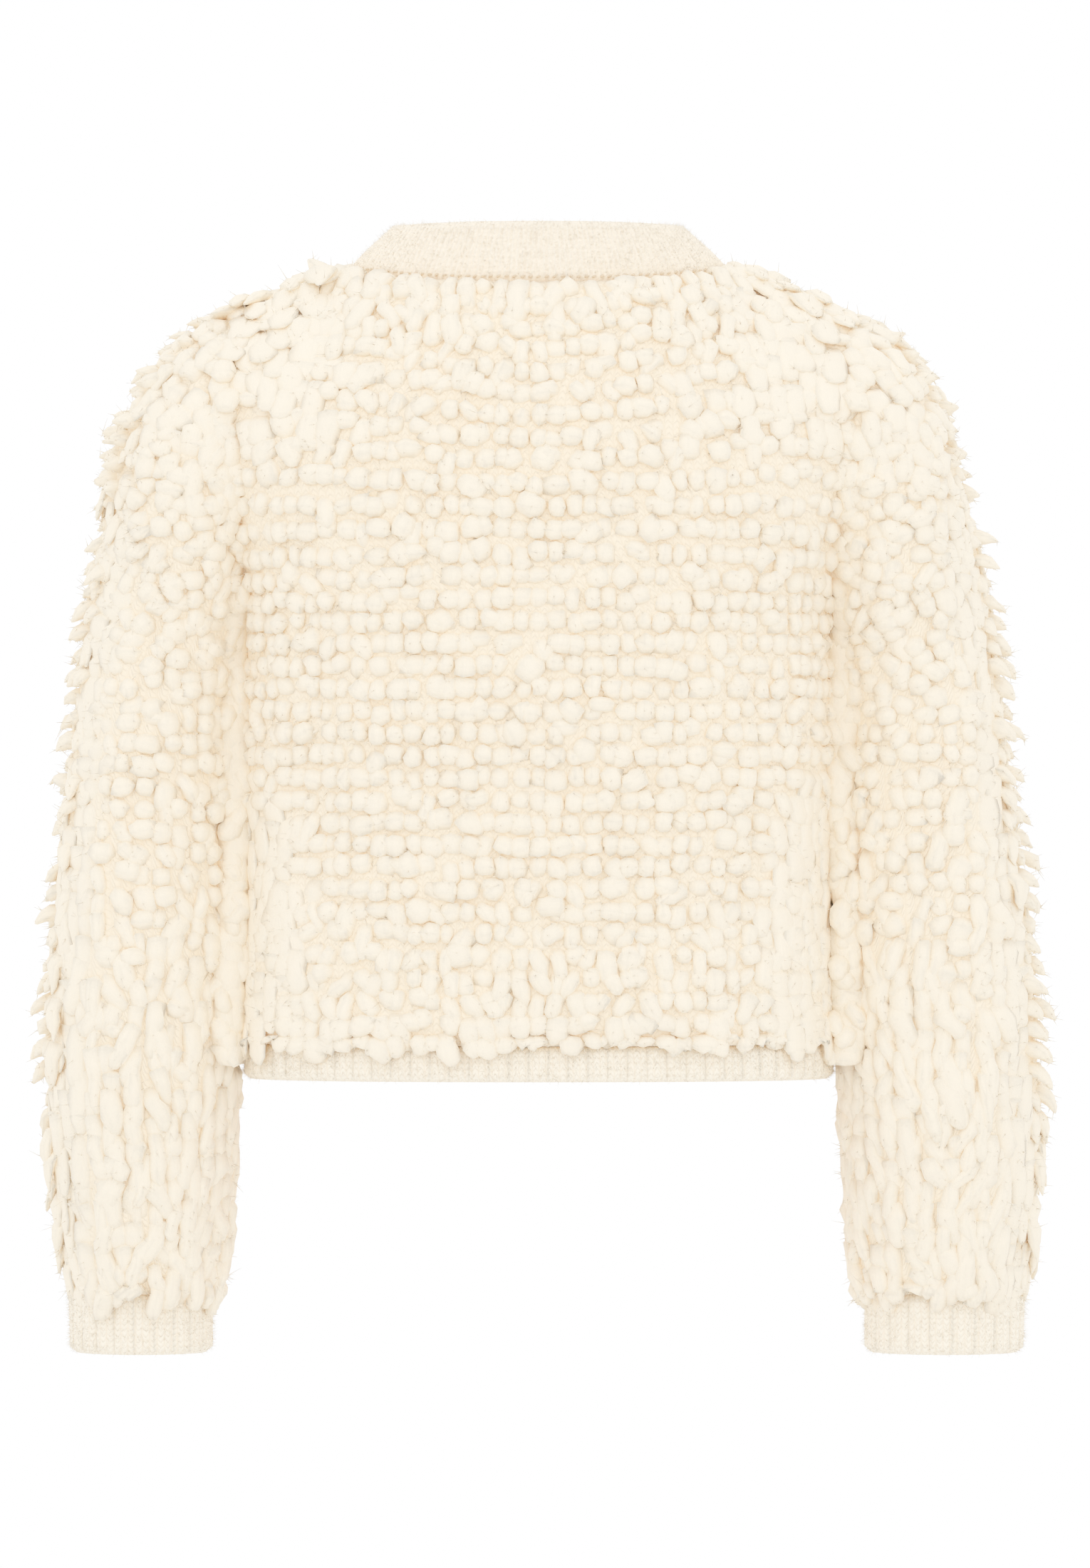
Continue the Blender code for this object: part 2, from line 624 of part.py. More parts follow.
def make_hem(material):
    """The hem's rib: one strip on the back and one on each front, as the panels above them."""
    low, high = -BODY_LENGTH, -BODY_LENGTH + HEM_RIB
    for name, side, hand in (("hem_back", BACK, 1), ("hem_left", FRONT, 1), ("hem_right", FRONT, -1)):
        quarter = np.linalg.norm(np.diff(body_row(side, low, np.linspace(0, 1, 60)), axis=0), axis=1).sum()
        columns = 2 * round(quarter / WELT_RIB)
        first = 0 if side == BACK else FRONT_BAND_HALF / quarter
        shares = np.linspace(first, 1, columns + 1)
        rows = np.array([body_row(side, z, shares) for z in (low, high)])
        if side == FRONT:
            rows[:, 0, 0] = FRONT_BAND_HALF + SEAM_GAP / 2
            inner = rows * [hand, 1, 1]
        else:
            inner = np.concatenate([rows[:, :0:-1] * [-1, 1, 1], rows], axis=1)
        directions = surface_normals(inner, False, np.array([0.0, 0.0, (low + high) / 2]))
        directions[..., 2] = 0.0
        for column, at_centre in ((0, side == FRONT), (-1, False)):
            directions[:, column] = [0, side, 0] if at_centre else unit(inner[:, column] * [1, 0, 0])
        inner = drawn_back(inner, closed=False)
        thick = np.full(inner.shape[:2], RIB_WALL) + ribs(inner.shape[1])
        thick[:, (0, -1)] = RIB_WALL
        outer = opened(inner + unit(directions) * thick[..., None], closed=False)
        wall(name, inner, outer, material, column_step=2)


def make_cuffs(material):
    for name, hand in (("cuff_left", 1), ("cuff_right", -1)):
        low = SLEEVE_END - CUFF_RIB
        around = 2 * math.pi * through(ARM_LEVELS, "half_width", SLEEVE_END)
        turn = np.arange(2 * round(around / WELT_RIB)) * 2 * math.pi / (2 * round(around / WELT_RIB))
        inner = np.array([arm_ring(z, turn, hand) for z in np.linspace(SLEEVE_END, low, 3)]) * [hand, 1, 1]
        directions = surface_normals(inner, True, inner.mean(axis=1, keepdims=True))
        directions[..., 2] = 0.0
        inner = drawn_back(inner, closed=True)
        outer = inner + unit(directions) * (RIB_WALL + ribs(inner.shape[1])[None, :, None])
        wall(name, inner, outer, material, closed=True, column_step=2, row_step=2)


# ---------------------------------------------------------------- front bands and buttons


def front_edge_line(count):
    """The centre front from the bottom edge up the body and the neckband, on the inner surface, evenly spaced."""
    hem_to_underarm = [
        body_row(FRONT, z, np.array([0.0]))[0] for z in np.linspace(-BODY_LENGTH, UNDERARM, 40, endpoint=False)
    ]
    chest = centre_line(FRONT, np.linspace(0, 1, 40))
    neck_top = [np.array([0.0, -NECK_TOP_FRONT[0], NECK_TOP_FRONT[1]])]
    return evenly(np.concatenate([hem_to_underarm, chest, neck_top]), np.linspace(0, 1, count))


def line_normals(line):
    """Normals of a line in the plane of symmetry, pointing forwards."""
    along = unit(np.gradient(line, axis=0))
    return np.stack([np.zeros(len(line)), -along[:, 2], along[:, 1]], axis=-1)


def make_front_bands(material):
    """Two rib strips from the hem to the neckband's top. The right one, with the buttonholes, lies on the left."""
    line = front_edge_line(19)
    normals = line_normals(line)
    columns = 2 * FRONT_BAND_RIBS + 1
    under_edge = FRONT_BAND_HALF - 0.002
    for name, low_x, high_x, lift in (
        ("button_band", -under_edge, FRONT_BAND_HALF - SEAM_GAP / 2, 0.0),
        ("buttonhole_band", -FRONT_BAND_HALF + SEAM_GAP / 2, under_edge, BAND_WALL + SEAM_GAP),
    ):
        x = np.linspace(low_x, high_x, columns)
        inner = line[:, None] + normals[:, None] * lift + x[None, :, None] * np.array([1, 0, 0])
        relief = ribs(columns) if lift else np.zeros(columns)
        outer = inner + normals[:, None] * (BAND_WALL + relief[None, :, None])
        wall(name, inner, outer, material, column_step=2)


def make_buttons(material):
    """Turned buttons with a rim and a dished middle, spaced evenly from the hem rib to the neckband."""
    line = front_edge_line(400)
    normals = line_normals(line)
    seat = 2 * BAND_WALL + RIB_RELIEF + 2 * SEAM_GAP
    profile = (
        (0.0, 0.72),
        (0.50, 0.72),
        (0.66, 1.0),
        (0.86, 1.0),
        (1.0, 0.60),
        (1.0, 0.25),
        (0.80, 0.0),
        (0.0, 0.0),
    )
    heights = np.linspace(-BODY_LENGTH + HEM_RIB / 2, FRONT_NECK[1] + 0.013, BUTTON_COUNT)
    for number, height in enumerate(heights, start=1):
        at = int(np.argmin(np.abs(line[:, 2] - height)))
        mesh = bpy.data.meshes.new(f"button_{number}")
        turned = [(r * BUTTON_RADIUS, 0.0, h * BUTTON_THICK) for r, h in profile]
        mesh.from_pydata(turned, [(i, i + 1) for i in range(len(turned) - 1)], [])
        mesh.materials.append(material)
        button = bpy.data.objects.new(f"button_{number}", mesh)
        CARDIGAN.objects.link(button)
        screw = button.modifiers.new("turned", "SCREW")
        screw.axis = "Z"
        screw.steps = screw.render_steps = 12
        screw.use_merge_vertices = True
        screw.merge_threshold = 0.00005
        screw.use_normal_calculate = True
        button.location = line[at] + normals[at] * seat
        tilt = math.atan2(normals[at][2], -normals[at][1])
        button.rotation_euler = (math.pi / 2 - tilt, 0.0, 0.0)


def clear_scene():
    for old in list(bpy.data.objects):
        bpy.data.objects.remove(old)


clear_scene()
CARDIGAN = bpy.data.collections.new("cardigan")
bpy.context.scene.collection.children.link(CARDIGAN)
pile = cloth_material("loop pile", CREAM, 0.95)
rib = cloth_material("rib", RIB_CREAM, 0.90)
ivory = cloth_material("button", BUTTON_IVORY, 0.35)
make_back(pile)
make_fronts(pile)
make_sleeves(pile)
make_neckband(rib)
make_hem(rib)
make_cuffs(rib)
make_front_bands(rib)
make_buttons(ivory)
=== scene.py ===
import math
from collections import namedtuple

import bpy
import numpy as np
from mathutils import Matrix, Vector


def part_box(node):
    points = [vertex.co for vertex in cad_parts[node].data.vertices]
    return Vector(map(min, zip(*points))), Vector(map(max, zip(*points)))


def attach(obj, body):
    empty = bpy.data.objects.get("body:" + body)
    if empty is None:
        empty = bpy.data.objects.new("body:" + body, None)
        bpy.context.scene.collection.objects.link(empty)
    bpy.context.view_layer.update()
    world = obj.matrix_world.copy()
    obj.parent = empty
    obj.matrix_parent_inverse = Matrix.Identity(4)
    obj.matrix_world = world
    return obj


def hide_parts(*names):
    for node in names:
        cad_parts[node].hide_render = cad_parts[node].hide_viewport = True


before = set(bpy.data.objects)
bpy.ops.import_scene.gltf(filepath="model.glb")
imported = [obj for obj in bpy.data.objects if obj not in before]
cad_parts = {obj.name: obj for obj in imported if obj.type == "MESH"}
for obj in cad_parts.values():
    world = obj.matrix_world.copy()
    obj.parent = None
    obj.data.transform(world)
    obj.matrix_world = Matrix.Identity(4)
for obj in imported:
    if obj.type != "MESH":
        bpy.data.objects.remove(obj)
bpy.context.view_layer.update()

# ==================================================================================== The studio
# A pale round floor as far below the shoulders as a wearer's feet, a white surround and soft lamps around.
# The camera stands behind the cardigan, level with its middle, and sees 0.95 m from top to bottom there.

SENSOR = 36.0
CAMERA_AWAY = 7.0
CAMERA_X, CAMERA_Z = -0.0039, -0.3044
VIEW_HEIGHT = 0.950
FLOOR_Z, FLOOR_RADIUS = -1.38, 4.0
SURROUND_LIGHT = 0.955  # on the cardigan; the camera sees it at 1
MIDDLE = Vector((0, 0, -0.31))
HIGH_KEY = 1.4
LIGHT_BOUNCES = 24  # white wool passes light on many times

camera_lens = bpy.data.cameras.new("camera")
camera_lens.lens = SENSOR * CAMERA_AWAY / VIEW_HEIGHT
camera_lens.sensor_width = SENSOR
camera = bpy.data.objects.new("camera", camera_lens)
camera.location = (CAMERA_X, CAMERA_AWAY, CAMERA_Z)
camera.rotation_euler = (math.pi / 2, 0, math.pi)
bpy.context.scene.collection.objects.link(camera)
bpy.context.scene.camera = camera
bpy.context.scene.view_settings.view_transform = "Standard"
bpy.context.scene.view_settings.gamma = HIGH_KEY
bpy.context.scene.cycles.max_bounces = bpy.context.scene.cycles.diffuse_bounces = LIGHT_BOUNCES


def feed(node, inputs):
    """Sets a node's inputs, by name or number: each to a value, or linked from the output socket given."""
    for name, value in inputs.items():
        if isinstance(value, bpy.types.NodeSocket):
            node.id_data.links.new(value, node.inputs[name])
        else:
            node.inputs[name].default_value = value


def add(tree, kind, inputs, **settings):
    """A new shader node with these settings and inputs."""
    node = tree.nodes.new("ShaderNode" + kind)
    for name, value in settings.items():
        setattr(node, name, value)
    feed(node, inputs)
    return node


def ranged(tree, value, start, end, low=0.0, high=1.0, **settings):
    """The socket of a value carried from start..end to low..high, and held there beyond."""
    inputs = {"Value": value, "From Min": start, "From Max": end, "To Min": low, "To Max": high}
    return add(tree, "MapRange", inputs, **settings).outputs["Result"]


def plain_material(name, colour, roughness):
    """A material of one colour and one roughness all over, and its shader."""
    material = bpy.data.materials.new(name)
    material.use_nodes = True
    shader = material.node_tree.nodes["Principled BSDF"]
    feed(shader, {"Base Color": (*colour, 1), "Roughness": roughness})
    return material, shader


def softbox(name, place, size, power):
    """A square lamp that faces the cardigan's middle."""
    lamp = bpy.data.lights.new(name, "AREA")
    lamp.size = size
    lamp.energy = power
    holder = bpy.data.objects.new(name, lamp)
    holder.location = place
    holder.rotation_euler = (MIDDLE - Vector(place)).to_track_quat("-Z", "Y").to_euler()
    bpy.context.scene.collection.objects.link(holder)


softbox("lamp_behind_left", (2.2, 3.6, 1.5), 2.2, 10)
softbox("lamp_behind_right", (-2.0, 3.4, 0.9), 2.2, 7)
softbox("lamp_front_left", (2.0, -3.6, 1.2), 2.2, 7)
softbox("lamp_front_right", (-2.2, -3.4, 1.5), 2.2, 9)
softbox("lamp_above", (0.0, 0.2, 3.2), 2.4, 3)

surround = bpy.data.worlds.new("surround")
surround.use_nodes = True
bpy.context.scene.world = surround
tree = surround.node_tree
seen = add(tree, "LightPath", {}).outputs["Is Camera Ray"]
strength = ranged(tree, seen, 0.0, 1.0, SURROUND_LIGHT, 1.0)
feed(tree.nodes["Background"], {"Color": (1, 1, 1, 1), "Strength": strength})

bpy.ops.mesh.primitive_circle_add(
    vertices=96, radius=FLOOR_RADIUS, fill_type="NGON", location=(0, 0, FLOOR_Z)
)
floor = bpy.context.object
floor.name = "floor"
floor.data.materials.append(plain_material("pale floor", (0.90, 0.89, 0.87), 0.7)[0])

# ==================================================================================== The back
# One panel of plain knit from the hem seam to the neck and shoulder seams, with a thick brushed yarn laid
# into it in courses 13 mm apart. Every 10 mm it stands out as a loop, longer and hanging below the neck and
# at the shoulders. The panel is the CAD wall's inner side, and the loops fill the wall's thickness.

HEM_SEAM, UNDERARM = -0.461, -0.200
SHOULDER_POINT = np.array([0.190, 0.003, -0.032])
NECK_POINT = np.array([0.114, 0.003, 0.002])
BACK_NECK, FRONT_NECK = (0.064, -0.006), (0.086, -0.078)  # depth and height of the seam's middle
NECK_TURN = math.radians(76)
ARMHOLE_REACH = 0.054
ARMHOLE_BOW = 0.3  # share of its reach that the rows beside it gain halfway up
ARMHOLE_CURVE = 1.2
BODY_FULLNESS = 0.64
CHEST_DEPTH, CHEST_HEIGHT = 1.02, 0.66  # where the centre line turns over, as shares of its depth and rise
SHOULDER_SLOPE = 0.38
TOP_SHAPE_FROM = 0.30
NECK_SHARE = 5 / 7  # of a panel's half width: where the neck seam ends and the shoulder seam begins
CURVE_POINTS = 121
BACK, FRONT = 1, -1

Level = namedtuple("Level", "height half_width back front")
BODY_LEVELS = (
    Level(-0.485, 0.1735, 0.101, 0.109),
    Level(-0.440, 0.1710, 0.101, 0.111),
    Level(-0.360, 0.1690, 0.104, 0.117),
    Level(-0.270, 0.1695, 0.111, 0.124),
    Level(-0.200, 0.1700, 0.114, 0.123),
)

Fold = namedtuple("Fold", "x y z reach_x reach_y reach_z depth")
FOLDS = (
    Fold(0.128, 0.090, -0.310, 0.018, 0.040, 0.110, 0.0045),
    Fold(-0.122, 0.090, -0.345, 0.016, 0.040, 0.085, 0.0035),
    Fold(0.120, -0.100, -0.290, 0.022, 0.040, 0.075, 0.0050),
    Fold(-0.128, -0.095, -0.320, 0.020, 0.040, 0.095, 0.0045),
    Fold(0.240, -0.060, -0.375, 0.040, 0.030, 0.013, 0.0050),
    Fold(-0.240, -0.060, -0.390, 0.040, 0.030, 0.012, 0.0045),
    Fold(0.235, 0.050, -0.205, 0.020, 0.030, 0.030, 0.0030),
    Fold(-0.240, 0.050, -0.215, 0.020, 0.030, 0.035, 0.0035),
    Fold(0.255, -0.060, -0.545, 0.030, 0.030, 0.014, 0.0035),
    Fold(-0.250, -0.060, -0.555, 0.030, 0.030, 0.013, 0.0035),
)

HALF_COLUMNS, LOWER_ROWS, UPPER_ROWS = 20, 40, 36
KNIT_THICK = 0.0100
KNIT_EDGE = 0.012  # over this distance from its ends the knit thins to half
PILE_REACH = 0.013
SHOULDER_EXTRA = 0.002
COURSE = 0.0130
LOOP_PITCH = 0.0104
GOLDEN = 0.618034
LOOP_WIDE, LOOP_THICK = 0.0066, 0.0045  # half of a yarn loop's width and thickness


def eased(share):
    """The smooth step of a share: three times its square less twice its cube, held between 0 and 1."""
    share = np.clip(share, 0.0, 1.0)
    return share * share * (3 - 2 * share)


def unit(vectors):
    """The vectors, each divided by its length."""
    return vectors / np.maximum(np.linalg.norm(vectors, axis=-1, keepdims=True), 1e-12)


def steps_along(line):
    """The distances between a line's neighbouring points."""
    return np.linalg.norm(np.diff(line, axis=0), axis=1)


def lengths_along(line):
    """For each point of a line, metres from its first."""
    return np.concatenate([[0], np.cumsum(steps_along(line))])


def evenly(line, shares):
    """Points at these shares of a finely drawn line's length."""
    along = lengths_along(line)
    return np.stack([np.interp(shares * along[-1], along, line[:, k]) for k in range(3)], axis=-1)


def through(levels, column, height):
    """A column of a table of levels at any heights, by the cubic curve through the table's rows."""
    rows = sorted(levels)
    at = np.array([row.height for row in rows])
    values = np.array([getattr(row, column) for row in rows])
    slopes = np.gradient(values, at)
    i = np.clip(np.searchsorted(at, height) - 1, 0, len(at) - 2)
    span = at[i + 1] - at[i]
    u = (height - at[i]) / span
    return (
        values[i] * (1 + 2 * u) * (1 - u) ** 2
        + slopes[i] * span * u * (1 - u) ** 2
        + values[i + 1] * u * u * (3 - 2 * u)
        + slopes[i + 1] * span * u * u * (u - 1)
    )


def bent(start, start_way, end_way, end, shares):
    """For each row, the cubic Bézier curve that leaves start by start_way and comes to end by end_way."""
    u = np.linspace(0, 1, CURVE_POINTS)[None, :, None]
    start, start_way, end_way, end = (a[:, None] for a in (start, start_way, end_way, end))
    lines = start * (1 - u) ** 3 + 3 * (start + start_way) * u * (1 - u) ** 2
    lines = lines + 3 * (end + end_way) * u * u * (1 - u) + end * u**3
    return np.array([evenly(line, shares) for line in lines])


def body_rows(side, heights, shares):
    """Levels of the body from the centre (share 0) to the side seam (share 1), each a full quarter oval."""
    half = through(BODY_LEVELS, "half_width", heights)
    deep = side * through(BODY_LEVELS, "back" if side == BACK else "front", heights)
    none = np.zeros_like(heights)
    return bent(
        np.stack([none, deep, heights], axis=-1),
        np.stack([half * BODY_FULLNESS, none, none], axis=-1),
        np.stack([none, deep * BODY_FULLNESS, none], axis=-1),
        np.stack([half, none, heights], axis=-1),
        shares,
    )


def neck_seam(side, shares):
    """From the centre to the neck point: an ellipse, x as sin and y as cos of the turn, rising sideways."""
    away, height = BACK_NECK if side == BACK else FRONT_NECK
    turn = shares * NECK_TURN
    drop = (np.cos(turn) - math.cos(NECK_TURN)) / (1 - math.cos(NECK_TURN))
    across = NECK_POINT[0] * np.sin(turn) / math.sin(NECK_TURN)
    along = NECK_POINT[1] + (side * away - NECK_POINT[1]) * drop
    return np.stack([across, along, NECK_POINT[2] + (height - NECK_POINT[2]) * drop], axis=-1)


def armhole(side, shares):
    """Half the armhole, from the underarm to the shoulder point: y as the sine of a half turn, z rising."""
    side_seam = through(BODY_LEVELS, "half_width", UNDERARM)
    rise = np.sin(shares * math.pi / 2) ** ARMHOLE_CURVE
    along = side * ARMHOLE_REACH * np.sin(shares * math.pi) + SHOULDER_POINT[1] * shares
    across = side_seam + (SHOULDER_POINT[0] - side_seam) * rise
    return np.stack([across, along, UNDERARM + (SHOULDER_POINT[2] - UNDERARM) * rise], axis=-1)


def centre_line(side, shares):
    """A panel's middle above the underarm: the quadratic Bézier curve up the back or chest to the neck."""
    low = body_rows(side, np.array([UNDERARM]), np.array([0.0]))[0, 0]
    high = neck_seam(side, np.array([0.0]))[0]
    turn = np.array([0.0, low[1] * CHEST_DEPTH, low[2] + CHEST_HEIGHT * (high[2] - low[2])])
    u = np.linspace(0, 1, CURVE_POINTS)[:, None]
    return evenly(low * (1 - u) ** 2 + 2 * turn * u * (1 - u) + high * u * u, shares)


def half_panel(side):
    """Half a panel on the +X side. Below the underarm its rows are quarter ovals. Above it each is a cubic
    curve from the centre line to the armhole, shaped towards the top like the neck and shoulder seams."""
    shares = np.linspace(0, 1, HALF_COLUMNS + 1)
    low = body_rows(side, np.linspace(HEM_SEAM, UNDERARM, LOWER_ROWS + 1), shares)
    up = np.linspace(0, 1, UPPER_ROWS + 1)[1:]
    middle, edge = centre_line(side, up), armhole(side, up)
    turn = math.pi / 2 * (1 - up) ** ARMHOLE_CURVE
    deep = np.abs(middle[:, 1] - edge[:, 1]) + ARMHOLE_BOW * ARMHOLE_REACH * np.sin(up * math.pi)
    edge_way = np.stack([-np.cos(turn), side * np.sin(turn), SHOULDER_SLOPE * up**2], axis=-1)
    start_way = edge * [BODY_FULLNESS, 0, 0]
    rows = bent(middle, start_way, edge_way * deep[:, None] * BODY_FULLNESS, edge, shares)
    neck = neck_seam(side, np.clip(shares / NECK_SHARE, 0, 1))
    out = np.clip((shares - NECK_SHARE) / (1 - NECK_SHARE), 0, 1)[:, None]
    shares = shares[:, None]
    top = np.where(shares <= NECK_SHARE, neck, NECK_POINT * (1 - out) + SHOULDER_POINT * out)
    tops = top + (middle - top[0])[:, None] * (1 - shares) + (edge - top[-1])[:, None] * shares
    near_top = eased((up - TOP_SHAPE_FROM) / (1 - TOP_SHAPE_FROM))[:, None, None]
    return np.concatenate([low, rows * (1 - near_top) + tops * near_top])


def surface_normals(points, closed, middle):
    """Unit normals of a grid of points, turned away from the given middle."""
    if closed:
        across = (np.roll(points, -1, axis=1) - np.roll(points, 1, axis=1)) / 2
    else:
        across = np.gradient(points, axis=1)
    normals = unit(np.cross(np.gradient(points, axis=0), across))
    return normals * np.sign(((points - middle) * normals).sum(axis=-1, keepdims=True))


def folded(points, normals):
    """The cloth with its folds pressed in: each is a soft trough with the depth of a bell curve."""
    points = points.copy()
    for fold in FOLDS:
        off = (points - [fold.x, fold.y, fold.z]) / [fold.reach_x, fold.reach_y, fold.reach_z]
        points -= fold.depth * np.exp(-(off**2).sum(axis=-1))[..., None] * normals
    return points


def pile_reach(points):
    """How far the loops stand out: less in the armpit and more on the shoulder."""
    across, along, up = np.abs(points[..., 0]), points[..., 1], points[..., 2]
    on_shoulder = np.exp(-(((across - 0.128) / 0.026) ** 2) - (along / 0.05) ** 2)
    on_shoulder = on_shoulder * eased((up + 0.06) / 0.05)
    armpit = np.stack([across - 0.176, along, up - UNDERARM + 0.012], axis=-1)
    from_armpit = np.linalg.norm(armpit, axis=-1)
    return PILE_REACH * (0.60 + 0.40 * eased(from_armpit / 0.055)) + SHOULDER_EXTRA * on_shoulder


def mesh_piece(name, points, quads, triangles=None):
    """A smooth mesh from arrays of corners, on the cardigan's own body."""
    triangles = np.zeros((0, 3), int) if triangles is None else triangles
    corners = np.concatenate([quads.ravel(), triangles.ravel()])
    starts = np.concatenate([np.arange(len(quads)) * 4, quads.size + np.arange(len(triangles)) * 3])
    mesh = bpy.data.meshes.new(name)
    mesh.vertices.add(len(points))
    mesh.vertices.foreach_set("co", points.astype(np.float32).ravel())
    mesh.loops.add(len(corners))
    mesh.loops.foreach_set("vertex_index", corners.astype(np.int32))
    mesh.polygons.add(len(starts))
    mesh.polygons.foreach_set("loop_start", starts.astype(np.int32))
    mesh.update(calc_edges=True)
    mesh.shade_smooth()
    piece = bpy.data.objects.new(name, mesh)
    bpy.context.scene.collection.objects.link(piece)
    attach(piece, "root")
    return piece


def grid_quads(rows, columns, closed=False):
    """One quad for each cell of a grid of points. A closed grid's last column joins its first one."""
    index = np.arange(rows * columns).reshape(rows, columns)
    if closed:
        index = np.hstack([index, index[:, :1]])
    corners = [index[:-1, :-1], index[:-1, 1:], index[1:, 1:], index[1:, :-1]]
    return np.stack(corners, axis=-1).reshape(-1, 4)


def capped_tube(rows, columns):
    """Quads and end triangles of a tube whose points are a pole, its rings and a pole."""
    ring = np.arange(rows * columns).reshape(rows, columns) + 1
    ring = np.hstack([ring, ring[:, :1]])
    quads = np.stack([ring[:-1, :-1], ring[1:, :-1], ring[1:, 1:], ring[:-1, 1:]], axis=-1).reshape(-1, 4)
    first = np.stack([np.zeros(columns, int), ring[0, :-1], ring[0, 1:]], axis=-1)
    last = np.stack([np.full(columns, rows * columns + 1), ring[-1, 1:], ring[-1, :-1]], axis=-1)
    return quads, np.concatenate([first, last])


def facing_out(points, quads, normals):
    """The quads turned, if need be, so that their front sides look along the normals."""
    a, b, c = (points.reshape(-1, 3)[quads[:, k]] for k in (0, 1, 2))
    looks = (np.cross(b - a, c - a) * normals.reshape(-1, 3)[quads[:, 0]]).sum()
    return quads if looks > 0 else quads[:, ::-1]


def give_cloth_map(piece, values):
    """Puts two numbers for each vertex into the piece's UV map."""
    corners = np.zeros(len(piece.data.loops), np.int32)
    piece.data.loops.foreach_get("vertex_index", corners)
    layer = piece.data.uv_layers.new(name="cloth")
    layer.data.foreach_set("uv", values.reshape(-1, 2)[corners].astype(np.float32).ravel())


def give_value(piece, name, values):
    """Puts a number on each point of a piece, for its material to read."""
    attribute = piece.data.attributes.new(name, "FLOAT", "POINT")
    attribute.data.foreach_set("value", values.astype(np.float32).ravel())


def lengths_across(points):
    """For each grid point, metres from its row's first point and metres up its column."""
    across = np.linalg.norm(np.diff(points, axis=1), axis=-1).cumsum(axis=1)
    along = np.linalg.norm(np.diff(points, axis=0), axis=-1).cumsum(axis=0)
    across = np.concatenate([np.zeros((len(points), 1)), across], axis=1)
    along = np.concatenate([np.zeros((1, points.shape[1])), along], axis=0)
    return np.stack([across, along], axis=-1)


def knit_cloth(name, points, normals, closed):
    """A shell of plain knit on a grid of points: KNIT_THICK outwards from them, half that at its ends."""
    rows, columns = points.shape[:2]
    quads = facing_out(points, grid_quads(rows, columns, closed), normals)
    piece = mesh_piece(name, points.reshape(-1, 3), quads)
    cloth = lengths_across(points)
    give_cloth_map(piece, cloth)
    fullness = piece.vertex_groups.new(name="fullness")
    along = cloth[..., 1].mean(axis=1)
    for row, share in enumerate(eased(np.minimum(along, along[-1] - along) / KNIT_EDGE)):
        fullness.add(range(row * columns, row * columns + columns), 0.5 + 0.5 * float(share), "REPLACE")
    thick = piece.modifiers.new("thick", "SOLIDIFY")
    thick.vertex_group = fullness.name
    thick.thickness = KNIT_THICK
    thick.offset = 1.0
    piece.data.materials.append(base_wool)
    return piece


def between(field, rows, columns, closed):
    """The values of a grid at fractional rows and columns, linear between its points."""
    r = np.clip(np.floor(rows).astype(int), 0, field.shape[0] - 2)
    c = np.floor(columns).astype(int)
    if closed:
        v = columns - c
        c, c_next = c % field.shape[1], (c + 1) % field.shape[1]
    else:
        c = np.clip(c, 0, field.shape[1] - 2)
        c_next, v = c + 1, columns - c
    u = rows - r
    if field.ndim == 3:
        u, v = u[:, None], v[:, None]
    low = field[r, c] * (1 - v) + field[r, c_next] * v
    high = field[r + 1, c] * (1 - v) + field[r + 1, c_next] * v
    return low * (1 - u) + high * u


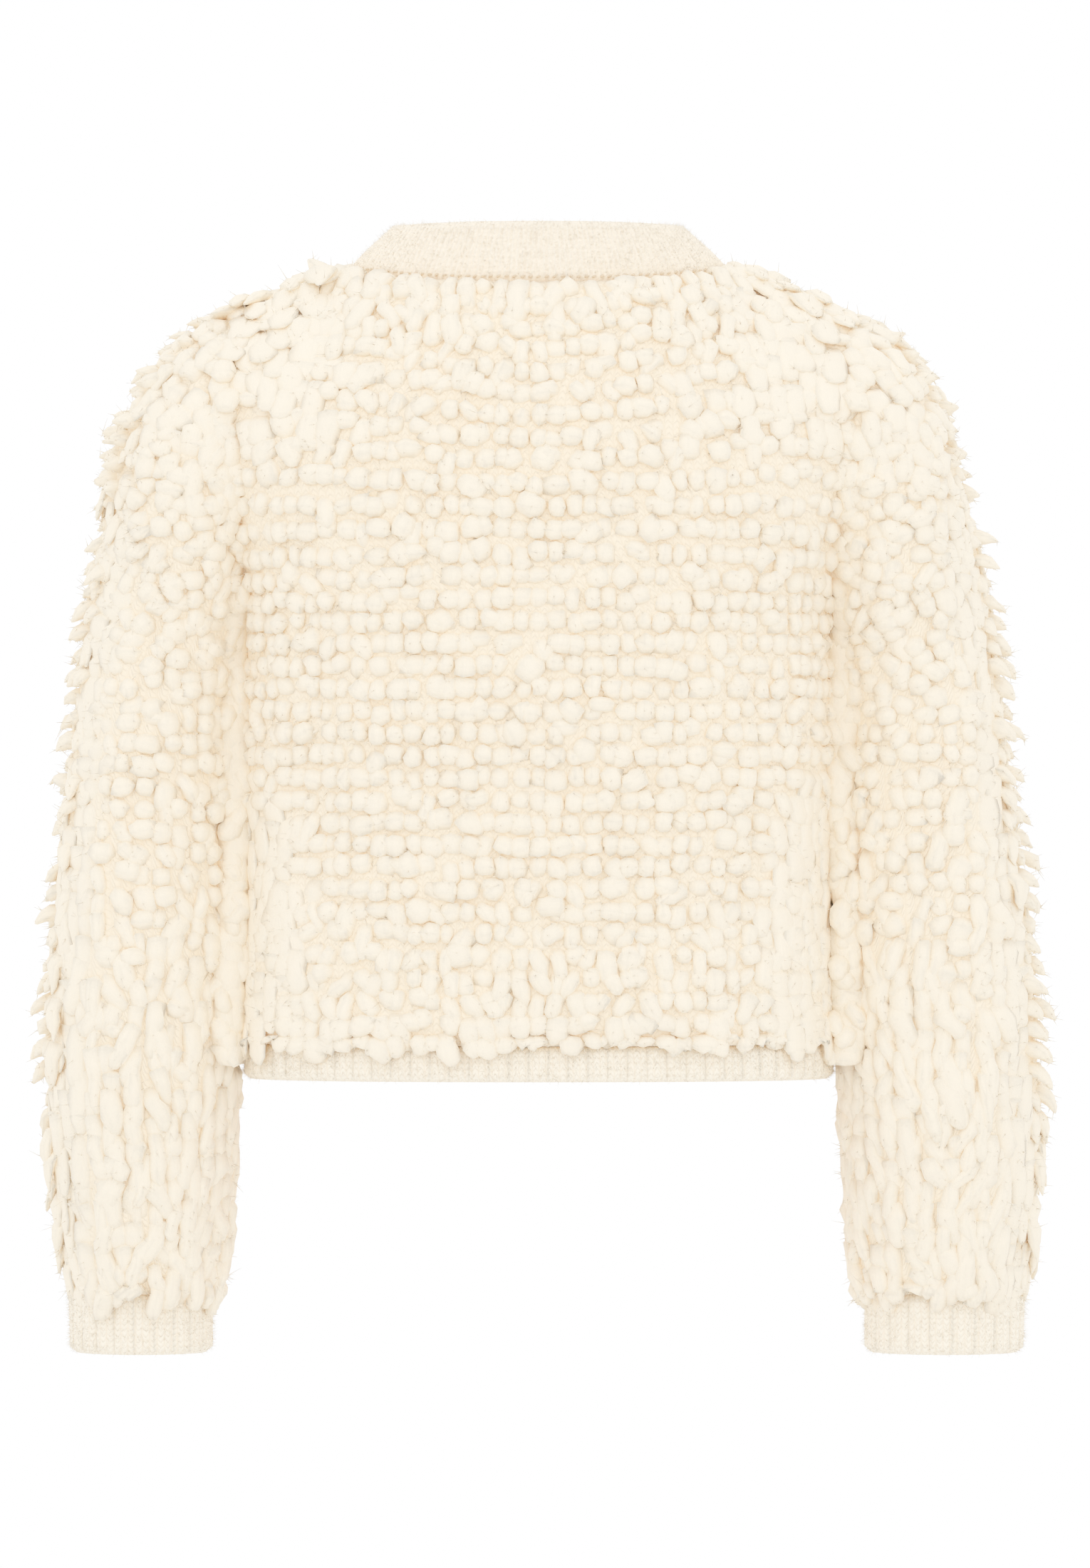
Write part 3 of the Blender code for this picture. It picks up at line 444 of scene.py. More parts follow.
def loop_places(points, lead_column, wales, edge_gap, rng):
    """Where the loops are rooted: courses at even distances up the lead column, and in each a loop every
    LOOP_PITCH both ways from it, or on a tube at least wales loops round it. Where courses crowd together,
    loops are left out, evenly. All are then nudged at random, more in some patches than in others."""
    closed = wales > 0
    up = lengths_along(points[:, lead_column])
    count = int((up[-1] - edge_gap[0] - edge_gap[1]) / COURSE)
    heights = np.linspace(edge_gap[0], up[-1] - edge_gap[1], count + 1)
    course_rows = np.interp(heights, up, np.arange(len(up)))
    rows, columns, spacing, order = [], [], [], []
    for number, row in enumerate(course_rows):
        every_column = np.arange(points.shape[1], dtype=float)
        line = between(points, np.full(points.shape[1], row), every_column, closed)
        line = np.concatenate([line, line[:1]]) if closed else line
        along = lengths_along(line)
        if closed:
            across = max(wales, round(along[-1] / LOOP_PITCH))
            spots = (np.arange(across) + 0.5) / across * along[-1]
            gap = along[-1] / across
        else:
            first = -math.floor((along[lead_column] - edge_gap[2]) / LOOP_PITCH - 0.5)
            last = math.floor((along[-1] - along[lead_column] - edge_gap[2]) / LOOP_PITCH - 0.5)
            half = 0.5 if first == 0 else 0.0
            spots = along[lead_column] + (np.arange(first, last + 1) + half) * LOOP_PITCH
            gap = LOOP_PITCH
        columns.append(np.interp(spots, along, np.arange(len(along))))
        rows.append(np.full(len(spots), row))
        spacing.append(np.full(len(spots), gap))
        order.append((number * GOLDEN + 0.5 * (np.arange(len(spots)) % 2)) % 1)
    rows, columns, spacing, order = (np.concatenate(part) for part in (rows, columns, spacing, order))
    tall = between(np.linalg.norm(np.gradient(points, axis=0), axis=-1), rows, columns, closed)
    wide = between(np.linalg.norm(np.gradient(points, axis=1), axis=-1), rows, columns, closed)
    room = tall / np.interp(rows, np.arange(len(up)), np.gradient(up)) * spacing / LOOP_PITCH
    keep = order < 1.12 * room
    rows, columns, tall, wide = rows[keep], columns[keep], tall[keep], wide[keep]
    place = between(points, rows, columns, closed)
    mess = 0.5 + 0.5 * np.sin(place[:, 0] * 61 + 1.3) * np.sin(place[:, 2] * 47 + place[:, 0] * 18 + 0.4)
    near_lead = np.exp(-(((columns - lead_column) / (0.14 * points.shape[1])) ** 4)) * closed
    nudge = ((0.05 + 0.13 * mess) * (1 - 0.85 * near_lead))[:, None] * rng.normal(size=(len(rows), 2))
    nudge = nudge * [0.5 * COURSE, LOOP_PITCH]
    rows = np.clip(rows + nudge[:, 0] / np.maximum(tall, 1e-4), 0.3, len(points) - 1.3)
    columns = columns + nudge[:, 1] / np.maximum(wide, 1e-4)
    if not closed:
        columns = np.clip(columns, 0.2, points.shape[1] - 1.2)
    return rows, columns, mess


RING_SHARES = np.array([0.0, 0.02, 0.22, 0.44, 0.64, 0.82, 0.95, 1.0])  # a pole, six rings and a pole
RING_FULL = np.array([0.0, 0.78, 0.94, 1.0, 1.0, 0.93, 0.62, 0.0])
RING_POINTED = np.array([0.0, 1.26, 1.35, 1.26, 0.98, 0.60, 0.24, 0.0])
YARN_SIDES = 7
LINE_STEPS = 64
STRAND_GAP = 0.37  # between one yarn's place in the fibre texture and the next one's
PILE_FOOT = 0.0022  # the loops' middle lines begin this far out
PILE_FIBRE_THICK = 0.00024


def yarn_lines(normal, down, length, rise, turn_over, turn, lean, sway):
    """Middle lines of yarn loops. A line leaves its root along the normal. After rise it turns towards
    down, by turn in all, within turn_over. down itself leans sideways, and the line waves by sway."""
    distance = np.linspace(0, 1, LINE_STEPS + 1) * length[:, None]
    angle = turn[:, None] * eased((distance - rise[:, None]) / turn_over[:, None])
    ahead = length[:, None] / LINE_STEPS
    out = np.cumsum(np.cos(angle) * ahead, axis=1) - ahead
    drop = np.cumsum(np.sin(angle) * ahead, axis=1)
    side = np.cross(normal, down)
    down = unit(down * np.cos(lean)[:, None] + side * np.sin(lean)[:, None])
    side = unit(np.cross(normal, down))
    pick = np.round(RING_SHARES * LINE_STEPS).astype(int)
    wave = sway[:, None] * np.sin(RING_SHARES * 5.2 + 0.6) * RING_SHARES
    return out[:, pick], drop[:, pick], wave, down, side


def yarn_mesh(name, lines, side, half_wide, half_thick, full, rough, tint, material):
    """Closed tubes of yarn round their lines: a ring is the line's point plus across·cos·wide and
    face·sin·thick, both square to the line. Sizes are times full along the yarn and rough at each point,
    and the ends close in poles. strand says where in its yarn a point is, for the fibre texture."""
    count, rings = len(lines), len(RING_SHARES) - 2
    tangent = unit(np.gradient(lines, axis=1))
    face = unit(np.cross(side[:, None], tangent))
    across = unit(np.cross(tangent, face))
    turn = np.arange(YARN_SIDES) / YARN_SIDES * 2 * math.pi
    wide = (half_wide[:, None] * full)[:, 1:-1, None, None] * rough[..., None]
    thick = (half_thick[:, None] * full)[:, 1:-1, None, None] * rough[..., None]
    body = lines[:, 1:-1, None] + across[:, 1:-1, None] * wide * np.cos(turn)[:, None]
    body = body + face[:, 1:-1, None] * thick * np.sin(turn)[:, None]
    points = np.concatenate([lines[:, :1], body.reshape(count, -1, 3), lines[:, -1:]], axis=1)
    quads, caps = capped_tube(rings, YARN_SIDES)
    a, b, c = (points[0][quads[:, k]] for k in (0, 1, 2))
    if (np.cross(b - a, c - a) * (a - points[0].mean(axis=0))).sum() < 0:
        quads, caps = quads[:, ::-1], caps[:, ::-1]
    jump = (np.arange(count) * points.shape[1])[:, None, None]
    quads, caps = (quads + jump).reshape(-1, 4), (caps + jump).reshape(-1, 3)
    piece = mesh_piece(name, points.reshape(-1, 3), quads, caps)
    shares = np.concatenate([[0.0], np.repeat(RING_SHARES[1:-1], YARN_SIDES), [1.0]])
    spin = np.concatenate([[0.0], np.tile(turn, rings), [0.0]])
    run = shares * np.linalg.norm(np.diff(lines, axis=1), axis=-1).sum(axis=1)[:, None]
    strand = [np.cos(spin) * half_wide[:, None], np.sin(spin) * half_wide[:, None]]
    strand = np.stack([*strand, run + np.arange(count)[:, None] * STRAND_GAP], axis=-1)
    attribute = piece.data.attributes.new("strand", "FLOAT_VECTOR", "POINT")
    attribute.data.foreach_set("vector", strand.astype(np.float32).ravel())
    give_value(piece, "tint", np.repeat(tint, points.shape[1]))
    piece.data.materials.append(material)
    return piece, points


def fuzz(name, start, way, length, thick, material):
    """Loose wool fibres: each a straight needle with three sides, from a small triangle to a point."""
    way = unit(way)
    side = unit(np.cross(way, [0.31, 0.52, 0.79]))
    face = np.cross(way, side)
    turn = np.arange(3) / 3 * 2 * math.pi
    spoke = (side[:, None] * np.cos(turn)[:, None] + face[:, None] * np.sin(turn)[:, None]) * thick
    points = np.concatenate([start[:, None] + spoke, (start + way * length[:, None])[:, None]], axis=1)
    corners = np.array([[0, 1, 3], [1, 2, 3], [2, 0, 3], [2, 1, 0]])
    jump = (np.arange(len(start)) * 4)[:, None, None]
    triangles = (corners[None] + jump).reshape(-1, 3)
    piece = mesh_piece(name, points.reshape(-1, 3), np.zeros((0, 4), int), triangles)
    give_value(piece, "height", np.ones((len(start), 4)))
    give_value(piece, "tint", np.full((len(start), 4), 0.5))
    piece.data.materials.append(material)
    return piece


def loop_pile(name, points, normals, wales, lead_column, edge_gap, look, fuzz_count, seed):
    """The loops of one panel or sleeve and the fibres that stand off them. At each root look gives how
    likely a loop is to be a long lock, how long such a lock is, how far it turns down from the normal, how
    far it stands out and how smooth and flat the pile lies. The others are knobs, turned to the cloth."""
    rng = np.random.default_rng(seed)
    closed = wales > 0
    rows, columns, mess = loop_places(points, lead_column, wales, edge_gap, rng)
    root = between(points, rows, columns, closed)
    normal = unit(between(normals, rows, columns, closed))
    down = -between(np.gradient(points, axis=0), rows, columns, closed)
    down = unit(down - normal * (down * normal).sum(axis=-1, keepdims=True))
    pull = np.array([0, 0, -1.0]) + normal * normal[:, 2:3]
    down = unit(0.6 * down + 0.8 * pull)
    reach = pile_reach(root)
    count = len(root)
    chance, long, turned, stand, smooth = look(root, normal, reach)
    lock = rng.random(count) < chance
    aside = rng.random(count) < 0.12 + 0.14 * mess
    size = np.clip(reach / PILE_REACH, 0.5, 1.4)
    pointed = lock * eased((stand - reach) / 0.002)
    lock_length = long * rng.uniform(0.80, 1.25, count)
    length = np.where(lock, lock_length, rng.uniform(0.0175, 0.0215, count) * size)
    length = length * (1 - pointed) + long * rng.uniform(0.90, 1.10, count) * pointed
    length = length * np.where(aside & ~lock, 1.35, 1.0)
    rise = np.where(lock, rng.uniform(0.003, 0.0055, count), rng.uniform(0.0045, 0.0060, count) * size)
    rise = rise * (1 - pointed)
    turn_over = np.where(lock, rng.uniform(0.007, 0.011, count) + 0.006 * pointed, length - rise)
    turned = turned * rng.uniform(0.85, 1.15, count)
    turn = np.where(lock, turned, np.radians(rng.uniform(150, 205, count)))
    across = rng.choice([-1.0, 1.0], count) * rng.uniform(0.7, 1.7, count)
    lean = rng.normal(0, 0.10 + 0.15 * mess, count) * (1 - 0.6 * smooth)
    lean = np.where(aside & ~lock, across, lean)
    sway = np.where(lock, rng.normal(0, 0.0040, count) * (1 - 0.6 * smooth), 0.0)
    half_wide = LOOP_WIDE * rng.uniform(0.78, 1.25, count) * np.where(lock, 0.93, 1.0) * np.sqrt(size)
    half_wide = half_wide * (1 + 0.45 * smooth) * (1 - 0.04 * pointed)
    half_thick = LOOP_THICK * rng.uniform(0.86, 1.18, count) * np.sqrt(size)
    half_thick = half_thick * (1 - 0.50 * smooth) * (1 - 0.10 * pointed)
    out, drop, wave, down, side = yarn_lines(normal, down, length, rise, turn_over, turn, lean, sway)
    out = np.maximum(out, 0) / np.maximum(out.max(axis=1, keepdims=True), 1e-4)
    out = np.where(lock[:, None], out, out**0.6)
    uneven = 1 + rng.uniform(-0.14, 0.12, count) * (1 - 0.85 * smooth) * (1 + 1.4 * pointed)
    wanted = np.where(lock, stand, reach) * uneven - half_thick
    out = out * wanted[:, None]
    lines = root[:, None] + normal[:, None] * (out[..., None] + PILE_FOOT)
    lines = lines + down[:, None] * drop[..., None] + side[:, None] * wave[..., None]
    full = RING_FULL + (RING_POINTED - RING_FULL) * pointed[:, None]
    full = full * (1 + rng.normal(0, 0.07, full.shape))
    rough = rng.normal(0, 0.11, (count, len(RING_SHARES) - 2, YARN_SIDES))
    rough = 1 + rough * (1 - 0.6 * smooth)[:, None, None]
    tint = rng.random(count)
    piece, body = yarn_mesh(name, lines, side, half_wide, half_thick, full, rough, tint, pile_wool)
    full_reach = np.where(lock, np.minimum(stand, reach), reach)
    above = ((body - root[:, None]) * normal[:, None]).sum(axis=-1) / full_reach[:, None]
    # How high each point stands on its loop: the material paints shade low down.
    give_value(piece, "height", above)
    pick = rng.integers(0, count, fuzz_count)
    spot = rng.integers(1, body.shape[1], fuzz_count)
    middle = lines[pick, np.minimum(1 + (spot - 1) // YARN_SIDES, len(RING_SHARES) - 1)]
    start = body[pick, spot]
    way = unit(start - middle) + 0.6 * normal[pick] + 0.6 * rng.normal(size=(fuzz_count, 3)) - [0, 0, 0.35]
    long_fuzz = rng.uniform(0.002, 0.0065, fuzz_count) * np.where(rng.random(fuzz_count) < 0.1, 1.8, 1.0)
    fluff = fuzz(name + "_fluff", start, way, long_fuzz, PILE_FIBRE_THICK, pile_wool)
    return piece, fluff


def pile_panel(name, points, normals, wales, lead_column, edge_gap, look, fuzz_count, seed, order=1):
    """The knit that stands for a CAD piece, with its pile. The loops are laid out from its first row up, or
    with order -1 from its last row back, and each hangs towards where they begin."""
    knit = knit_cloth(f"{name}_knit", points, normals, wales > 0)
    points, normals = points[::order], normals[::order]
    pile = loop_pile(f"{name}_loops", points, normals, wales, lead_column, edge_gap, look, fuzz_count, seed)
    return knit, list(pile)


WOOL_ROUGHNESS, WOOL_SPECULAR = 0.95, 0.15
FIBRE_FINENESS, FIBRE_STRETCH = 900.0, 0.22
CLOUD_FINENESS, PATCH_FINENESS = 330.0, 34.0
WANDER_FINENESS, HAZE_FINENESS = 90.0, 700.0
STITCH_SLANT, STITCH_WANDER = -1.3, 0.0016
# The first pile colour is painted shade, low on each loop towards the gaps between the loops; the second is
# the loop yarn's own colour.
PILE_PAINTED_SHADE, PILE_LIGHT = (0.986, 0.880, 0.712), (0.990, 0.903, 0.750)
# The first knit colour is tanner than the loop yarn: partly the base knit's own tone, partly painted shade
# for the gaps between the loops. The second is painted shade in the stitches' furrows.
KNIT_TONE_AND_GAP_SHADE, KNIT_FURROW_SHADE = (0.978, 0.872, 0.700), (0.966, 0.845, 0.660)


def calc(tree, operation, *values, kind="Math"):
    """The output socket of a maths node on these values and sockets."""
    return add(tree, kind, dict(enumerate(values)), operation=operation).outputs[0]


def noise(tree, place, scale, detail=2.0, roughness=0.5, distortion=0.0):
    """The sockets that a noise texture puts out."""
    inputs = {"Vector": place, "Scale": scale, "Detail": detail}
    return add(tree, "TexNoise", {**inputs, "Roughness": roughness, "Distortion": distortion}).outputs


def blend(tree, factor, first, second):
    """The socket of a colour between two."""
    return add(tree, "Mix", {"Factor": factor, "A": first, "B": second}, data_type="RGBA").outputs["Result"]


def raise_surface(shader, height, strength, distance):
    """Lifts a shader's surface by a height, as a bump."""
    inputs = {"Height": height, "Strength": strength, "Distance": distance}
    feed(shader, {"Normal": add(shader.id_data, "Bump", inputs).outputs["Normal"]})


def new_group(name, inputs, outputs):
    """A node group with these sockets, the sockets it is given and the node that puts out its results."""
    group = bpy.data.node_groups.new(name, "ShaderNodeTree")
    for in_out, sockets in (("INPUT", inputs), ("OUTPUT", outputs)):
        for socket, kind in sockets.items():
            group.interface.new_socket(socket, in_out=in_out, socket_type="NodeSocket" + kind)
    return group, group.nodes.new("NodeGroupInput").outputs, group.nodes.new("NodeGroupOutput")


def wool_fibre_group():
    """Node group: fine fibres along the yarn. It puts out a colour, from a painted shade low on the loops
    up to the yarn's light colour, and a height.
    """
    inputs = {"Strand": "Vector", "Place": "Vector", "Depth": "Float", "Tint": "Float"}
    outputs = {"Colour": "Color", "Height": "Float"}
    group, given, put = new_group("wool_fibres", {**inputs, "Painted Shade": "Color", "Light": "Color"}, outputs)
    stretched = calc(group, "MULTIPLY", given["Strand"], (1.0, 1.0, FIBRE_STRETCH), kind="VectorMath")
    streaks = noise(group, stretched, FIBRE_FINENESS, 3.0, 0.62)["Fac"]
    clouds = noise(group, given["Place"], CLOUD_FINENESS, 3.0, 0.65)["Fac"]
    patches = noise(group, given["Place"], PATCH_FINENESS)["Fac"]
    cloudy_depth = calc(group, "MULTIPLY_ADD", clouds, 0.9, given["Depth"])
    # Painted shade: the colour runs from the shaded one low on a loop to the yarn's own colour higher up.
    loop_unshaded_share = ranged(group, cloudy_depth, 0.95, 1.60, interpolation_type="SMOOTHSTEP")
    base = blend(group, loop_unshaded_share, given["Painted Shade"], given["Light"])
    loop_shade = calc(group, "MULTIPLY_ADD", given["Tint"], 0.015, 0.985)
    patch_shade = ranged(group, patches, 0.3, 0.7, 0.985, 1.0)
    streak_shade = ranged(group, streaks, 0.25, 0.75, 0.975, 1.0)
    shade = calc(group, "MULTIPLY", calc(group, "MULTIPLY", loop_shade, patch_shade), streak_shade)
    colour = add(group, "VectorMath", {0: base, "Scale": shade}, operation="SCALE").outputs[0]
    feed(put, {"Colour": colour, "Height": calc(group, "MULTIPLY_ADD", clouds, 2.5, streaks)})
    return group


def wool_material(name, deep, light, bump, sheen):
    """Brushed wool: the fibre group on the piece's strand, height and tint attributes, matt, with sheen.
    Its first colour, deep, is painted shade low on the loops.
    """
    material, shader = plain_material(name, light, WOOL_ROUGHNESS)
    feed(shader, {"Sheen Weight": sheen, "Sheen Roughness": 0.6, "Specular IOR Level": WOOL_SPECULAR})
    tree = material.node_tree
    place = add(tree, "TexCoord", {}).outputs["Object"]
    inputs = {"Place": place, "Painted Shade": (*deep, 1), "Light": (*light, 1)}
    for socket, attribute, output in (
        ("Strand", "strand", "Vector"),
        ("Depth", "height", "Fac"),
        ("Tint", "tint", "Fac"),
    ):
        inputs[socket] = add(tree, "Attribute", {}, attribute_name=attribute).outputs[output]
    fibre = add(tree, "Group", {}, node_tree=WOOL_FIBRES)
    feed(fibre, inputs)
    feed(shader, {"Base Color": fibre.outputs["Colour"]})
    raise_surface(shader, fibre.outputs["Height"], bump, 0.0006)
    return material


def stitch_group():
    """Node group: plain knit. Columns of V stitches: a rounded column with rows slanting to its edges."""
    inputs = {"Cloth": "Vector", "Column": "Float", "Row": "Float"}
    group, given, put = new_group("knit_stitches", inputs, {"Height": "Float"})

    def humps(value, power):
        """A rounded hump for each whole step of the value."""
        hump = calc(group, "ABSOLUTE", calc(group, "SINE", calc(group, "MULTIPLY", value, math.pi)))
        return calc(group, "POWER", hump, power)

    split = add(group, "SeparateXYZ", {0: given["Cloth"]}).outputs
    across = calc(group, "DIVIDE", split["X"], given["Column"])
    up = calc(group, "DIVIDE", split["Y"], given["Row"])
    slant = calc(group, "MULTIPLY_ADD", calc(group, "PINGPONG", across, 0.5), STITCH_SLANT, up)
    feed(put, {"Height": calc(group, "MULTIPLY", humps(across, 0.6), humps(slant, 0.5))})
    return group


def knit_material(name, colour, furrow_shade, column, row, depth):
    """Plain knit in fine wool: V stitches raised by bump, with painted shade in their furrows, under fibre
    haze.
    """
    material, shader = plain_material(name, colour, WOOL_ROUGHNESS)
    feed(shader, {"Sheen Weight": 0.12, "Specular IOR Level": WOOL_SPECULAR})
    tree = material.node_tree
    place = add(tree, "TexCoord", {}).outputs["Object"]
    cloth = add(tree, "UVMap", {}, uv_map="cloth").outputs["UV"]
    wander = noise(tree, place, WANDER_FINENESS)["Color"]
    shift = (STITCH_WANDER, STITCH_WANDER, 0.0)
    cloth = calc(tree, "MULTIPLY_ADD", wander, shift, cloth, kind="VectorMath")
    stitches = add(tree, "Group", {}, node_tree=KNIT_STITCHES)
    feed(stitches, {"Cloth": cloth, "Column": column, "Row": row})
    haze = noise(tree, place, HAZE_FINENESS, 4.0)["Fac"]
    soft = calc(tree, "MULTIPLY_ADD", haze, 0.55, stitches.outputs["Height"])
    # Painted shade: darker towards the stitches' furrows.
    stitch_unshaded_share = ranged(tree, soft, 0.15, 1.0)
    feed(shader, {"Base Color": blend(tree, stitch_unshaded_share, (*furrow_shade, 1), (*colour, 1))})
    raise_surface(shader, soft, 0.6, depth)
    return material


WOOL_FIBRES = wool_fibre_group()
KNIT_STITCHES = stitch_group()
pile_wool = wool_material("cream loop yarn", PILE_PAINTED_SHADE, PILE_LIGHT, 0.35, 0.12)
base_wool = knit_material("cream base knit", KNIT_TONE_AND_GAP_SHADE, KNIT_FURROW_SHADE, 0.0050, 0.0040, 0.0006)

Tuft = namedtuple("Tuft", "x size")
TUFTS = (
    Tuft(0.122, 1.3), Tuft(0.176, 0.5), Tuft(0.226, 0.6),
    Tuft(-0.156, 0.6), Tuft(-0.205, 0.5), Tuft(-0.240, 0.5),
)


def tufts(root):
    """How far the pile stands up on the line of the shoulders: a bell curve about each tuft, and small
    points here and there from beside the neck outwards."""
    across, along, up = root[:, 0], root[:, 1], root[:, 2]
    near = sum(tuft.size * np.exp(-(((across - tuft.x) / 0.007) ** 2)) for tuft in TUFTS)
    ridge = np.exp(-((along / 0.018) ** 2)) * (up > -0.10)
    points = 0.5 * (np.abs(across) > 0.122) * (np.sin(across * 1900 + along * 900) > -0.3)
    return np.maximum(near, points) * ridge


def panel_look(root, normal, reach):
    """On the back and fronts: knobs, with hanging locks below the neck, on the shoulders, in the lowest
    quarter and where the sides are matted by the sleeves."""
    across, up = np.abs(root[:, 0]), root[:, 2]
    neck = np.exp(-np.maximum(-0.004 - up, 0) / 0.036) * (across < 0.135)
    shoulder = eased((across - 0.085) / 0.05) * eased((up + 0.135) / 0.07)
    low = eased((-0.345 - up) / 0.08)
    matted = eased((across - 0.120) / 0.03) * eased((-0.27 - up) / 0.06)
    near_hem = eased((-0.430 - up) / 0.015)
    tuft = tufts(root)
    flat_shoulder = shoulder * np.maximum(1 - tuft, 0)
    chance = np.clip(0.08 + 0.92 * neck + 0.85 * shoulder + 0.62 * low + matted + (up < -0.447), 0, 1)
    long = 0.0200 + 0.013 * np.maximum(neck, shoulder) + 0.003 * low + 0.012 * matted
    long = np.minimum(long, up - HEM_SEAM + 0.012 + 0.005 * np.sin(root[:, 0] * 640))
    smooth = np.maximum(np.maximum(matted, 0.35 * near_hem), 0.8 * flat_shoulder)
    pressed = 0.22 * matted + 0.07 * near_hem * (1 - matted) + 0.07 * flat_shoulder
    return chance, long, np.radians(98 - 50 * tuft), reach * (1 - pressed) + 0.012 * tuft, smooth


BODY_MIDDLE = np.array([0, 0, -0.25])
half = half_panel(BACK)
back_points = np.concatenate([half[:, :0:-1] * [-1, 1, 1], half], axis=1)
back_normals = surface_normals(back_points, False, BODY_MIDDLE)
back_points = folded(back_points, back_normals)
back, pile = pile_panel(
    "back", back_points, back_normals, 0, HALF_COLUMNS, (0.004, 0.008, 0.002), panel_look, 15000, 11
)
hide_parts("back")

# ==================================================================================== The fronts
# Two panels of the same loop pile, left and right of the button bands. They are like the back, mirrored in
# depth, a little deeper and with a lower neck, and each ends half a band's width from the centre. The
# photograph doesn't show them.

BAND_HALF = 0.014

for side_name, hand, seed in (("left", 1, 21), ("right", -1, 31)):
    points = half_panel(FRONT)
    points[:, :, 0] += BAND_HALF * (1 - np.linspace(0, 1, HALF_COLUMNS + 1)) ** 3
    points = points * [hand, 1, 1]
    normals = surface_normals(points, False, BODY_MIDDLE)
    points = folded(points, normals)
    front, pile = pile_panel(
        f"front_{side_name}", points, normals, 0, 0, (0.004, 0.006, 0.003), panel_look, 4500, seed
    )
    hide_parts(f"front_{side_name}")

# ==================================================================================== The sleeves
# Each is one panel sewn into a tube and set into the armhole, full at the forearm and gathered by its cuff.
# The loops hang longer towards the cuff and stand out from the sleeve's outer side as drooping points.

ArmLevel = namedtuple("ArmLevel", "height centre_x centre_y half_width half_depth")
ARM_LEVELS = (
    ArmLevel(-0.265, 0.2345, 0.000, 0.0420, 0.0500),
    ArmLevel(-0.350, 0.2400, -0.001, 0.0460, 0.0500),
    ArmLevel(-0.430, 0.2430, -0.006, 0.0485, 0.0515),
    ArmLevel(-0.485, 0.2445, -0.012, 0.0485, 0.0510),
    ArmLevel(-0.540, 0.2440, -0.019, 0.0465, 0.0480),
    ArmLevel(-0.580, 0.2430, -0.026, 0.0430, 0.0440),
    ArmLevel(-0.605, 0.2425, -0.030, 0.0395, 0.0410),
    ArmLevel(-0.650, 0.2420, -0.038, 0.0380, 0.0395),
)
RIGHT_CUFF_EXTRA = 0.010
CAP_END, SLEEVE_END = -0.265, -0.612
ARM_COLUMNS, CAP_ROWS, ARM_ROWS = 56, 40, 50
ARM_WALES = 29
OUTER_SIDE = 0.235  # further out than this, the sleeve's outer side
OUTER_SLACK = 0.0070  # the knit lies this much further in there, where the points stand off it
SLACK_FROM = {1: 0.09, -1: 0.03}  # metres below the neck, on the left and on the right


def arm_rings(heights, turn, hand):
    """Levels of the sleeve, each an ellipse. The turn is 0 by the body, a quarter behind, half outside."""
    wider = RIGHT_CUFF_EXTRA / 2 * eased((CAP_END - heights) / (CAP_END - SLEEVE_END)) * (hand < 0)
    centre = (through(ARM_LEVELS, "centre_x", heights) + wider)[:, None]
    half_width = (through(ARM_LEVELS, "half_width", heights) + wider)[:, None]
    deep = through(ARM_LEVELS, "half_depth", heights)[:, None]
    along = through(ARM_LEVELS, "centre_y", heights)[:, None] + deep * np.sin(turn)
    return np.stack([centre - half_width * np.cos(turn), along, heights[:, None] + 0 * turn], axis=-1)


def sleeve_surface(hand):
    """The sleeve as it is on the +X side: the cap is the cubic Hermite surface from the armhole to the
    first ring, leaving outwards over the shoulder and arriving downwards. Below it come the rings."""
    turn = np.arange(ARM_COLUMNS) * 2 * math.pi / ARM_COLUMNS
    behind = turn <= math.pi
    share = np.where(behind, turn, 2 * math.pi - turn) / math.pi
    start = np.where(behind[:, None], armhole(BACK, share), armhole(FRONT, share))
    end = arm_rings(np.array([CAP_END]), turn, hand)[0]
    outside = ((1 - np.cos(turn)) / 2)[:, None]
    sideways = np.abs(np.sin(turn))[:, None]
    leave = outside * [0.165, 0, -0.050] + (1 - outside) * [0.045, 0, -0.006] + sideways * [0, 0, -0.055]
    leave = leave + np.sin(turn)[:, None] * [0, 0.035, 0]
    arrive = outside * [0.020, 0, -0.280] + (1 - outside) * [0.004, 0, -0.075]
    u = (np.arange(CAP_ROWS) / CAP_ROWS)[:, None, None]
    cap = start * (1 + 2 * u) * (1 - u) ** 2 + leave * u * (1 - u) ** 2
    cap = cap + end * u * u * (3 - 2 * u) + arrive * u * u * (u - 1)
    return np.concatenate([cap, arm_rings(np.linspace(CAP_END, SLEEVE_END, ARM_ROWS + 1), turn, hand)])


def sleeve_look(root, normal, reach):
    """On the sleeves: more and longer locks towards the cuff and on the shoulder, most of those along
    the outer edge, as seen from behind, standing off as points."""
    across, up = np.abs(root[:, 0]), root[:, 2]
    lower = eased((-0.26 - up) / 0.24)
    shoulder = eased((up + 0.17) / 0.09)
    outer = eased((np.abs(normal[:, 0]) - 0.45) / 0.25) * (across > OUTER_SIDE)
    edge = eased((0.50 - np.abs(normal[:, 1])) / 0.14)
    edge = edge * ((across > OUTER_SIDE) | (up > -0.14) & (across > 0.200))
    high = eased((up + 0.24) / 0.12)
    chance = np.clip(0.22 + 0.78 * lower + 0.60 * shoulder + outer, 0, 1)
    picked = np.sin(up * 4100 + root[:, 1] * 2300) > -0.4
    standing = edge * picked * eased((up + 0.60) / 0.02) * (1 - 0.45 * eased((-0.47 - up) / 0.05))
    standing = np.maximum(standing, tufts(root))
    long = 0.0210 + 0.0170 * lower + 0.006 * shoulder + 0.008 * outer
    long = np.minimum(long, up - SLEEVE_END + 0.013 + 0.008 * np.sin(root[:, 0] * 830 + root[:, 1] * 270))
    long = long * (1 - standing) + 0.0170 * standing
    smooth = np.clip(outer + 0.5 * shoulder, 0, 1) * (1 - standing)
    stand = reach * (1 - 0.15 * outer) * (1 - standing) + 0.0200 * standing
    return chance, long, np.radians(98 - (34 + 28 * high) * standing), stand, smooth


